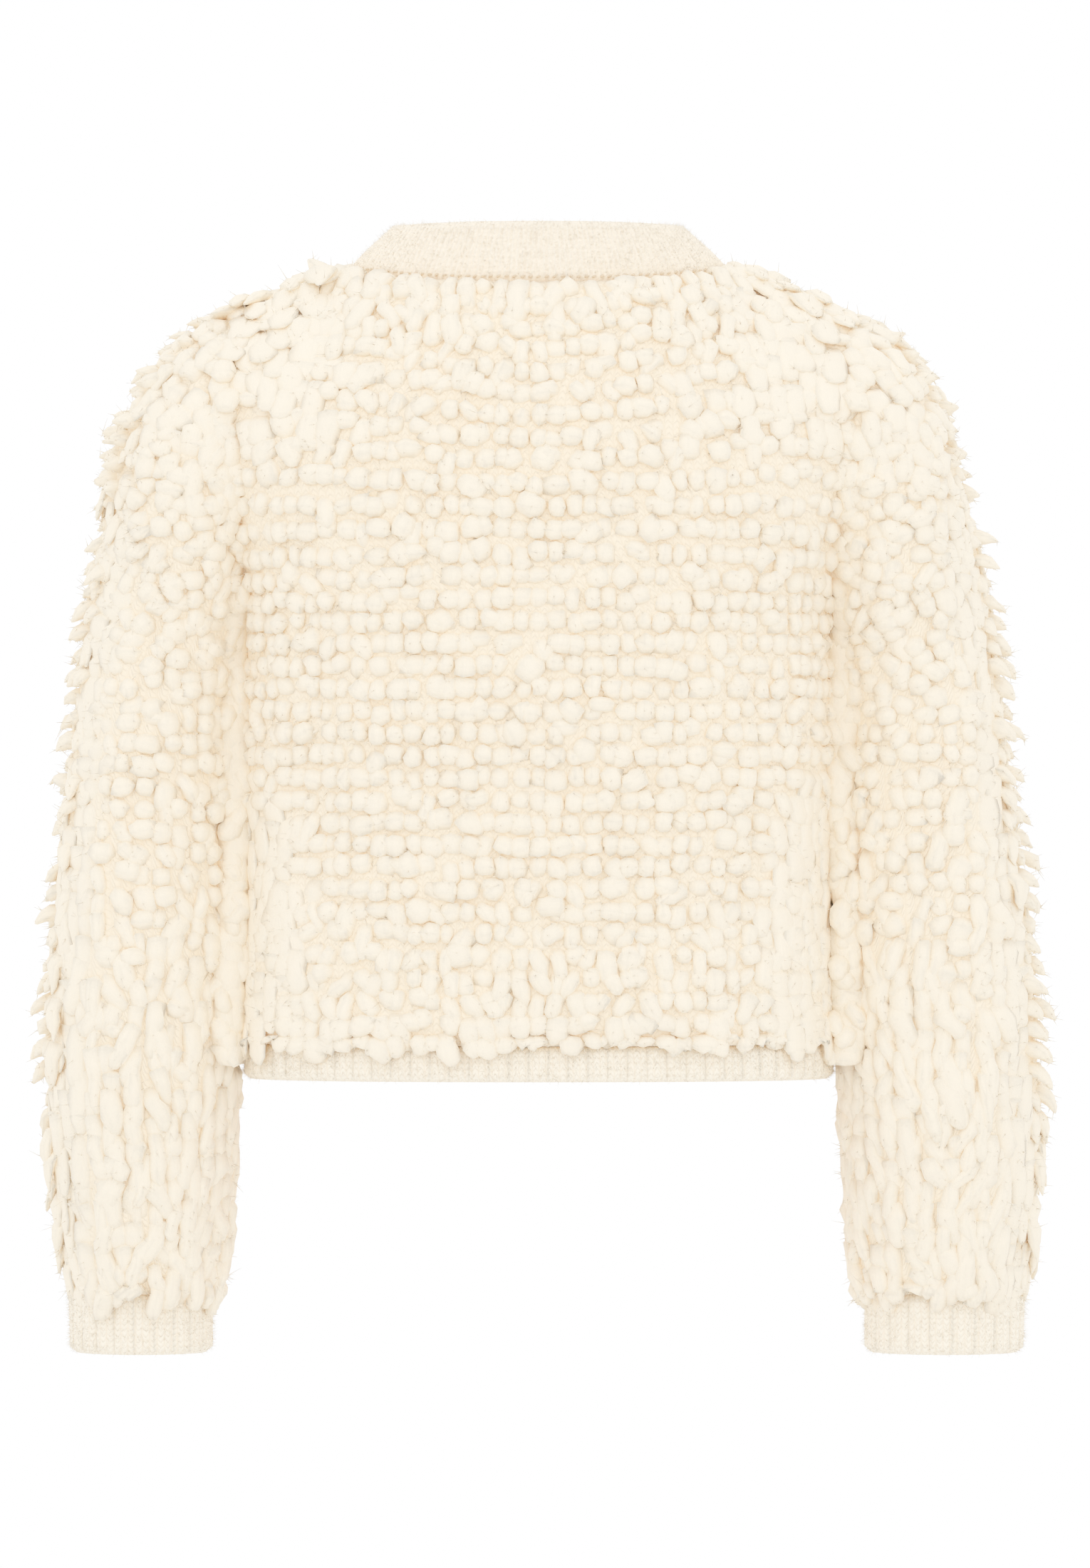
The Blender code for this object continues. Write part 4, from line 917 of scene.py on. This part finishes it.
for side_name, hand, seed in (("left", 1, 41), ("right", -1, 51)):
    points = sleeve_surface(hand) * [hand, 1, 1]
    normals = surface_normals(points, True, points.mean(axis=1, keepdims=True))
    points = folded(points, normals)
    slack = eased((np.abs(normals[..., 0]) - 0.3) / 0.5) * (np.abs(points[..., 0]) > OUTER_SIDE)
    slack = slack * eased((-SLACK_FROM[hand] - points[..., 2]) / 0.07)
    points = points - OUTER_SLACK * slack[..., None] * normals
    # The loops are laid out from the cuff up, so that each hangs towards the cuff.
    sleeve, pile = pile_panel(
        f"sleeve_{side_name}", points, normals, ARM_WALES, ARM_COLUMNS // 2, (0.006, 0.004, 0.0),
        sleeve_look, 12000, seed, order=-1,
    )
    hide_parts(f"sleeve_{side_name}")

# ==================================================================================== The creases
# Loops of the same pile that stand in the seams and hang over them: down the crease between each sleeve and
# the side, round the back and front of each armhole up to the shoulder, and along the shoulder seams.

Locks = namedtuple("Locks", "height long half_wide half_thick lean")  # four ranges and a spread
CREASE_FILLING = Locks((0.0062, 0.0090), (0.026, 0.032), (0.0096, 0.0108), (0.0056, 0.0064), 0.06)
CREASE_LOOPS = Locks((0.0062, 0.0090), (0.015, 0.023), (0.0050, 0.0072), (0.0042, 0.0054), 0.28)
ARMHOLE_LOOPS = Locks((0.0085, 0.0110), (0.017, 0.024), (0.0070, 0.0090), (0.0040, 0.0050), 0.25)
SHOULDER_LOOPS = Locks((0.0062, 0.0082), (0.016, 0.021), (0.0066, 0.0082), (0.0040, 0.0048), 0.18)
ARMHOLE_COUNT, SHOULDER_COUNT = 20, 15
CREASE_BOTTOM = -0.462


def seam_pile(name, root, ahead, locks, rng):
    """Locks that leave their roots along ahead, stand out by their height and turn down at once."""
    count = len(root)
    below = np.tile([0.0, 0.0, -1.0], (count, 1))
    below = unit(below - ahead * (below * ahead).sum(axis=-1, keepdims=True) + [0, 0, -0.2])
    long = np.minimum(rng.uniform(*locks.long, count), root[:, 2] - HEM_SEAM + 0.018)
    rise, turn_over, turn = (np.full(count, value) for value in (0.001, 0.009, np.radians(92)))
    lean, sway = rng.normal(0, locks.lean, count), rng.normal(0, locks.lean / 90, count)
    out, drop, wave, below, beside = yarn_lines(ahead, below, long, rise, turn_over, turn, lean, sway)
    out = out / out.max(axis=1, keepdims=True) * rng.uniform(*locks.height, count)[:, None]
    lines = root[:, None] + ahead[:, None] * out[..., None]
    lines = lines + below[:, None] * drop[..., None] + beside[:, None] * wave[..., None]
    full = RING_FULL + rng.normal(0, 0.04, (count, len(RING_SHARES)))
    rough = 1 + rng.normal(0, 0.09, (count, len(RING_SHARES) - 2, YARN_SIDES))
    wide, thick = rng.uniform(*locks.half_wide, count), rng.uniform(*locks.half_thick, count)
    piece, body = yarn_mesh(name, lines, beside, wide, thick, full, rough, rng.random(count), pile_wool)
    give_value(piece, "height", np.ones(body.shape[:2]))


def crease_roots(hand, side, heights, start_y, jitter, rng):
    """Between the sleeve and the side, midway from both, further out above the underarm."""
    level = np.minimum(heights, CAP_END)
    inner_arm = through(ARM_LEVELS, "centre_x", level) - through(ARM_LEVELS, "half_width", level)
    middle = (through(BODY_LEVELS, "half_width", np.minimum(heights, UNDERARM)) + inner_arm) / 2 + 0.003
    middle = middle + rng.normal(0, jitter, len(heights))
    along = side * (start_y + 0.009 * eased((heights + 0.215) / 0.035)) - 0.003
    along = along + rng.normal(0, jitter / 3, len(heights))
    return np.stack([middle * hand, along, heights], axis=-1)


for side_name, hand in (("left", 1), ("right", -1)):
    for place_name, side, seed in (("behind", BACK, 55), ("before", FRONT, 57)):
        rng = np.random.default_rng(seed + hand)
        for kind, top, pitch, start_y, jitter, locks in (
            ("filling", -0.176, 0.0105, 0.026, 0.0012, CREASE_FILLING),
            ("loops", -0.172, 0.0085, 0.029, 0.0046, CREASE_LOOPS),
        ):
            heights = np.arange(CREASE_BOTTOM, top, pitch)
            root = crease_roots(hand, side, heights, start_y, jitter, rng)
            ahead = np.tile([0.0, float(side), 0.0], (len(root), 1))
            seam_pile(f"crease_{side_name}_{place_name}_{kind}", root, ahead, locks, rng)
        shares = np.linspace(0.14, 0.97, ARMHOLE_COUNT)
        root = armhole(side, shares) * [hand, 1, 1] + rng.normal(0, 0.0015, (ARMHOLE_COUNT, 3))
        rise = shares * math.pi / 2
        ahead = unit(np.stack([0 * rise + 0.15 * hand, side * np.cos(rise), np.sin(rise)], axis=-1))
        seam_pile(f"armhole_{side_name}_{place_name}_loops", root, ahead, ARMHOLE_LOOPS, rng)
    rng = np.random.default_rng(59 + hand)
    share = np.linspace(0.02, 0.94, SHOULDER_COUNT)[:, None]
    root = (NECK_POINT * (1 - share) + SHOULDER_POINT * share) * [hand, 1, 1]
    root = root + rng.normal(0, 0.0008, (SHOULDER_COUNT, 3))
    ahead = np.tile(unit(np.array([0.40 * hand, 0.0, 0.92])), (SHOULDER_COUNT, 1))
    seam_pile(f"shoulder_{side_name}_loops", root, ahead, SHOULDER_LOOPS, rng)

# ==================================================================================== The neckband
# A strip of fine one-and-one rib in the same wool, brushed, about 35 mm high, sewn to the neck edge with a
# seam that shows as a line of small stitches. It leans in to a top edge that is almost level behind.

NECK_TOP_HALF = 0.080
NECK_TOP_BACK, NECK_TOP_SIDE, NECK_TOP_FRONT = (0.051, 0.034), 0.033, (0.074, -0.047)
NECK_ROWS, NECK_BULGE = 9, 0.0015
NECK_RIB, NECK_RIB_COLUMNS, NECK_RELIEF = 0.0034, 5, 0.0006
NECK_EDGE = 0.0022
RIB_THICK = 0.0045
RIB_FIBRE_THICK = 0.00012
FLUFF_LENGTH = 0.0045
# The second rib colour is painted shade in the rib's furrows.
RIB_LIGHT, RIB_FURROW_SHADE = (0.998, 0.915, 0.775), (0.998, 0.892, 0.740)
rib_wool = knit_material("cream rib", RIB_LIGHT, RIB_FURROW_SHADE, NECK_RIB, 0.0032, 0.0003)


def neckband_lines():
    """The neckband's seam and its top edge, from the centre front by the left, behind and back again."""
    feet, tops = [], []
    for side, hand, order in ((FRONT, 1, 1), (BACK, 1, -1), (BACK, -1, 1), (FRONT, -1, -1)):
        shares = np.linspace(0, 1, 241)
        first = BAND_HALF if side == FRONT else 0.0
        begin = np.interp(first, neck_seam(side, shares)[:, 0], shares)
        seam = neck_seam(side, begin + (1 - begin) * shares)
        turn = math.asin(first / NECK_TOP_HALF)
        turn = turn + (math.pi / 2 - turn) * shares
        away, height = NECK_TOP_BACK if side == BACK else NECK_TOP_FRONT
        rise = NECK_TOP_SIDE + (height - NECK_TOP_SIDE) * np.abs(np.cos(turn)) ** 1.5
        top = np.stack([NECK_TOP_HALF * np.sin(turn), side * away * np.cos(turn), rise], axis=-1)
        skip = 1 if feet else 0  # a part's first point is the last one of the part before
        feet.append((seam * [hand, 1, 1])[::order][skip:])
        tops.append((top * [hand, 1, 1])[::order][skip:])
    return np.concatenate(feet), np.concatenate(tops)


def strip_wall(name, inner, normals, thick, material, closed, edge):
    """A knitted strip as one closed wall. Its outer side is the inner one plus thick along the normals,
    rounded off over edge metres along both its long sides. An open strip also closes at its two ends."""
    rows, columns = inner.shape[:2]
    cloth = lengths_across(inner)
    up = cloth[..., 1]
    near = np.minimum(up, up[-1:] - up)
    round_off = np.sqrt(np.clip(1 - (1 - np.clip(near / edge, 0, 1)) ** 2, 0, 1))
    outer = inner + normals * (thick * (0.25 + 0.75 * round_off))[..., None]
    grid = np.concatenate([outer, inner[::-1]])
    quads = grid_quads(2 * rows, columns, closed)
    index = np.arange(2 * rows * columns).reshape(2 * rows, columns)
    seam = np.stack([index[-1], index[0]])
    seam = np.hstack([seam, seam[:, :1]]) if closed else seam
    joint = np.stack([seam[0, :-1], seam[0, 1:], seam[1, 1:], seam[1, :-1]], axis=-1)
    quads = np.concatenate([quads, joint])
    if not closed:
        for column, flip in ((0, 1), (-1, -1)):
            face = index[:rows, column], index[::-1][:rows, column]
            ends = np.stack([face[0][:-1], face[0][1:], face[1][1:], face[1][:-1]], axis=-1)
            quads = np.concatenate([quads, ends[:, ::flip]])
    outwards = np.concatenate([normals, -normals[::-1]])
    outer_quads = quads[: (rows - 1) * (columns if closed else columns - 1)]
    if (facing_out(grid, outer_quads, outwards)[0] != quads[0]).any():
        quads = quads[:, ::-1]
    piece = mesh_piece(name, grid.reshape(-1, 3), quads)
    give_cloth_map(piece, np.concatenate([cloth, cloth[::-1]]))
    piece.data.materials.append(material)
    return piece, outer


def rib_strip(name, inner, normals, thick, material, closed, edge, fibres, longest, seed):
    """The ribbed strip that stands for a CAD piece, with the short fibres of its brushed outer side."""
    strip, outer = strip_wall(f"{name}_rib", inner, normals, thick, material, closed, edge)
    rng = np.random.default_rng(seed)
    rows = rng.uniform(0, len(outer) - 1.01, fibres)
    columns = rng.uniform(0, outer.shape[1] - 1.01, fibres)
    start = between(outer, rows, columns, False)
    way = between(normals, rows, columns, False) + 0.75 * rng.normal(size=(fibres, 3))
    length = rng.uniform(0.25, 1.0, fibres) * longest
    fluff = fuzz(f"{name}_fluff", start, way, length, RIB_FIBRE_THICK, rib_fluff_wool)
    return strip, fluff, outer


def stitch_mesh(name, starts, ends, normals, lift, half_wide):
    """Short stitches of yarn, each a low arch from start to end: a line raised by lift times a sine."""
    share = RING_SHARES[None, :, None]
    lines = starts[:, None] * (1 - share) + ends[:, None] * share
    lines = lines + normals[:, None] * lift * np.sin(share * math.pi)
    side = unit(np.cross(normals, ends - starts))
    count = len(starts)
    wide, tint = np.full(count, half_wide), np.full(count, 0.5)
    full, rough = np.tile(RING_FULL, (count, 1)), np.ones((count, len(RING_SHARES) - 2, YARN_SIDES))
    piece, body = yarn_mesh(name, lines, side, wide, 0.8 * wide, full, rough, tint, seam_wool)
    give_value(piece, "height", np.ones(body.shape[:2]))
    return piece


# The first colour of each is the painted shade of the fibre group.
rib_fluff_wool = wool_material("brushed rib fibres", PILE_LIGHT, RIB_LIGHT, 0.1, 0.1)
seam_wool = wool_material("seam yarn", (0.76, 0.61, 0.43), (0.84, 0.70, 0.52), 0.1, 0.1)
foot, top = neckband_lines()
around = steps_along(foot).sum()
neck_ribs = round(around / NECK_RIB)
shares = np.linspace(0, 1, neck_ribs * NECK_RIB_COLUMNS + 1)
foot, top = evenly(foot, shares), evenly(top, shares)
up = np.linspace(0, 1, NECK_ROWS + 1)[:, None, None]
neck_inner = foot * (1 - up) + top * up
neck_normals = surface_normals(neck_inner, False, np.array([0, 0, -0.35]))
neck_inner = neck_inner + neck_normals * NECK_BULGE * np.sin(up * math.pi)
ribbing = NECK_RELIEF * np.cos(shares * neck_ribs * 2 * math.pi)
uneven = 0.0004 * np.sin(shares * 41 + 3 * up[..., 0]) + 0.0003 * np.sin(shares * 97 + 5 * up[..., 0])
neck_thick = RIB_THICK + ribbing[None] + uneven
neckband, neck_fluff, neck_outer = rib_strip(
    "neckband", neck_inner, neck_normals, neck_thick, rib_wool, False, NECK_EDGE, 9000, FLUFF_LENGTH, 61
)
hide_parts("neckband")

STITCH_PITCH, STITCH_LIFT, STITCH_HALF = 0.0048, 0.0010, 0.00080
STITCH_ROW, STITCH_RISE, STITCH_REACH = 1.0, 0.08, 1.5  # in rows and columns of the neckband's grid
spots = np.arange(1.0, around / STITCH_PITCH - 1.0) * STITCH_PITCH / around * (neck_outer.shape[1] - 1)
seam_rows = np.full(len(spots), STITCH_ROW)
begin = between(neck_outer, seam_rows - STITCH_RISE, spots - STITCH_REACH, False)
finish = between(neck_outer, seam_rows + STITCH_RISE, spots + STITCH_REACH, False)
ahead = unit(between(neck_normals, seam_rows, spots, False))
seam = stitch_mesh("neckband_seam", begin, finish, ahead, STITCH_LIFT, STITCH_HALF)

# ==================================================================================== The hem
# A strip of wide two-and-two rib, 22 mm high, below the back and below each front, in line with the side
# seams. Its ribs are 12 mm wide, and the last course of loops hangs a little over it.

WELT_RIB = 0.0118
WELT_RELIEF = 0.0011
WELT_EDGE = 0.004
WELT_ROWS = 9
RIB_COLUMNS = 10
HEM_BOTTOM = -0.4825
# Its second colour is painted shade in the wide rib's furrows.
welt_wool = knit_material("cream wide rib", (0.99, 0.92, 0.785), (0.98, 0.87, 0.70), 0.0040, 0.0036, 0.0006)


def ribs_of(wave, relief):
    """The section of round-backed ribs with narrow furrows: the root of a wave's size, about nought."""
    return relief * (2 * np.sqrt(np.abs(wave)) - 1.2)


def welt_thick(inner):
    """A welt's thickness over its grid, with a rib every RIB_COLUMNS columns."""
    wave = np.cos(np.arange(inner.shape[1]) / RIB_COLUMNS * math.pi)
    return RIB_THICK + np.broadcast_to(ribs_of(wave, WELT_RELIEF), inner.shape[:2])


for name, side, hand, seed in (
    ("hem_back", BACK, 1, 71),
    ("hem_left", FRONT, 1, 72),
    ("hem_right", FRONT, -1, 73),
):
    heights = np.linspace(HEM_BOTTOM, HEM_SEAM, WELT_ROWS)
    quarter = steps_along(body_rows(side, heights[:1], np.linspace(0, 1, 60))[0]).sum()
    ribs = round((quarter if side == BACK else quarter - BAND_HALF) / WELT_RIB)
    first = 0 if side == BACK else BAND_HALF / quarter
    inner = body_rows(side, heights, np.linspace(first, 1, ribs * RIB_COLUMNS + 1)) * [hand, 1, 1]
    if side == BACK:
        inner = np.concatenate([inner[:, :0:-1] * [-1, 1, 1], inner], axis=1)
    normals = surface_normals(inner, False, np.array([0, 0, -0.473]))
    fibres = 4000 if side == BACK else 2000
    hem, fluff, _ = rib_strip(
        name, inner, normals, welt_thick(inner), welt_wool, False, WELT_EDGE, fibres, FLUFF_LENGTH, seed
    )
    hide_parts(name)

# ==================================================================================== The cuffs
# Each cuff is a tube of the hem's wide rib, 38 mm high, that gathers the sleeve's end. Locks of the
# sleeve's last courses hang over its upper half.

CUFF_BOTTOM = -0.650

for side_name, hand, seed in (("left", 1, 81), ("right", -1, 82)):
    around = 2 * math.pi * through(ARM_LEVELS, "half_width", SLEEVE_END)
    columns = round(around / WELT_RIB) * RIB_COLUMNS
    turn = np.arange(columns) / columns * 2 * math.pi
    inner = arm_rings(np.linspace(SLEEVE_END, CUFF_BOTTOM, WELT_ROWS + 3), turn, hand) * [hand, 1, 1]
    normals = surface_normals(inner, True, inner.mean(axis=1, keepdims=True))
    cuff, fluff, _ = rib_strip(
        f"cuff_{side_name}", inner, normals, welt_thick(inner), welt_wool, True,
        WELT_EDGE, 3000, FLUFF_LENGTH, seed,
    )
    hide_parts(f"cuff_{side_name}")

# ==================================================================================== The front bands
# Two ribbed strips, 26 mm wide, knitted to the front edges from the bottom edge to the neckband's top. The
# right one lies on the left one, and the buttons cover its buttonholes, which aren't modelled. The
# photograph doesn't show the bands.

BAND_THICK = 0.003
BAND_OVERLAP = 0.002  # each stops this much short of the other's free edge
BAND_RIBS, BAND_RELIEF, BAND_ROWS = 4, 0.0009, 60
BAND_EDGE, BAND_FLUFF = 0.002, 0.0035
BAND_GAP = 0.0003  # between the two


def front_edge_line(count):
    """The centre front on the inner surface, evenly spaced from the bottom edge up chest and neckband."""
    low = body_rows(FRONT, np.linspace(HEM_BOTTOM, UNDERARM, 40, endpoint=False), np.array([0.0]))[:, 0]
    chest = centre_line(FRONT, np.linspace(0, 1, 40))
    neck = np.array([[0.0, -NECK_TOP_FRONT[0], NECK_TOP_FRONT[1]]])
    return evenly(np.concatenate([low, chest, neck]), np.linspace(0, 1, count))


def line_normals(line):
    """Normals of the centre front in the plane of symmetry, pointing forwards."""
    along = unit(np.gradient(line, axis=0))
    return np.stack([0 * along[:, 0], -along[:, 2], along[:, 1]], axis=-1)


band_line = front_edge_line(BAND_ROWS)
band_normals = line_normals(band_line)
for name, low_x, high_x, lift, seed in (
    ("button_band", -BAND_HALF + BAND_OVERLAP, BAND_HALF, 0.0, 91),
    ("buttonhole_band", -BAND_HALF, BAND_HALF - BAND_OVERLAP, BAND_THICK + BAND_GAP, 92),
):
    across = np.linspace(low_x, high_x, BAND_RIBS * RIB_COLUMNS + 1)
    inner = band_line[None] + band_normals[None] * lift + across[:, None, None] * np.array([1, 0, 0])
    normals = np.broadcast_to(band_normals[None], inner.shape)
    ribbing = ribs_of(np.sin(np.arange(len(across)) / RIB_COLUMNS * math.pi), BAND_RELIEF)
    thick = BAND_THICK + np.broadcast_to(ribbing[:, None], inner.shape[:2])
    band, fluff, _ = rib_strip(
        name, inner, normals, thick, rib_wool, False, BAND_EDGE, 1500, BAND_FLUFF, seed
    )
    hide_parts(name)

# ==================================================================================== The buttons
# Six turned ivory-coloured buttons, 18 mm across, with a raised rim, a dished middle and four holes, sewn
# on with a cross of the seams' wool yarn. The photograph doesn't show them.

BUTTON_COUNT = 6
BUTTON_RADIUS, BUTTON_THICK = 0.009, 0.0032
BUTTON_SEAT = 2 * BAND_THICK + 0.0011 + 0.0006  # clear of both bands and their ribs
BUTTON_PROFILE = (
    (0.0, 0.66), (0.42, 0.66), (0.58, 0.76), (0.68, 0.96), (0.76, 1.0), (0.86, 1.0),
    (0.95, 0.86), (1.0, 0.60), (1.0, 0.30), (0.93, 0.06), (0.80, 0.0), (0.0, 0.0),
)
BUTTON_RINGS, BUTTON_SIDES = 38, 48
HOLE_AWAY, HOLE_RADIUS, HOLE_DEPTH = 0.0021 / 1.4, 0.0009, 0.0016
DISH_HEIGHT = 0.62  # share of the thickness where the thread lies
THREAD_LIFT, THREAD_HALF = 0.0008, 0.0006

button_ivory, ivory_shader = plain_material("ivory button", (0.82, 0.69, 0.50), 0.32)
tree = button_ivory.node_tree
grain = noise(tree, add(tree, "TexCoord", {}).outputs["Object"], 160.0, distortion=2.5)["Fac"]
tones = blend(tree, grain, (0.74, 0.58, 0.38, 1), (0.88, 0.77, 0.59, 1))
feed(ivory_shader, {"Coat Weight": 0.25, "Base Color": tones})


def turned_button(name, seat, normal):
    """A button as its profile carried round its axis; near each hole the top sinks by a bell curve."""
    right = np.array([1.0, 0, 0])
    up = np.cross(normal, right)
    profile = np.array(BUTTON_PROFILE)
    along = lengths_along(profile)
    spots = np.linspace(0, along[-1], BUTTON_RINGS + 2)[1:-1]
    radius = np.interp(spots, along, profile[:, 0]) * BUTTON_RADIUS
    height = np.interp(spots, along, profile[:, 1]) * BUTTON_THICK
    turn = np.arange(BUTTON_SIDES) / BUTTON_SIDES * 2 * math.pi
    x, y = radius[:, None] * np.cos(turn), radius[:, None] * np.sin(turn)
    z = np.broadcast_to(height[:, None], x.shape).copy()
    for hole_x, hole_y in ((-1, -1), (-1, 1), (1, -1), (1, 1)):
        off = np.hypot(x - hole_x * HOLE_AWAY, y - hole_y * HOLE_AWAY) / HOLE_RADIUS
        z -= HOLE_DEPTH * np.exp(-(off**4)) * (height > 0.3 * BUTTON_THICK)[:, None]
    grid = seat + x[..., None] * right + y[..., None] * up + z[..., None] * normal
    top = seat + normal * profile[0, 1] * BUTTON_THICK
    return mesh_piece(
        name, np.concatenate([[top], grid.reshape(-1, 3), [seat]]), *capped_tube(BUTTON_RINGS, BUTTON_SIDES)
    )


fine_line = front_edge_line(400)
fine_normals = line_normals(fine_line)
seats = fine_line + fine_normals * BUTTON_SEAT
for number in range(1, BUTTON_COUNT + 1):
    low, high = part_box(f"button_{number}")
    at = int(np.argmin(np.abs(seats[:, 2] - (low.z + high.z) / 2)))
    seat, normal = seats[at], fine_normals[at]
    button = turned_button(f"button_{number}_ivory", seat, normal)
    button.data.materials.append(button_ivory)
    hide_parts(f"button_{number}")
    up = np.cross(normal, [1.0, 0, 0])
    middle = seat + normal * DISH_HEIGHT * BUTTON_THICK
    starts = np.array([middle - HOLE_AWAY * (up + [1, 0, 0]), middle - HOLE_AWAY * (up - [1, 0, 0])])
    ends, normals = 2 * middle - starts, np.array([normal] * 2)
    thread = stitch_mesh(f"button_{number}_thread", starts, ends, normals, THREAD_LIFT, THREAD_HALF)
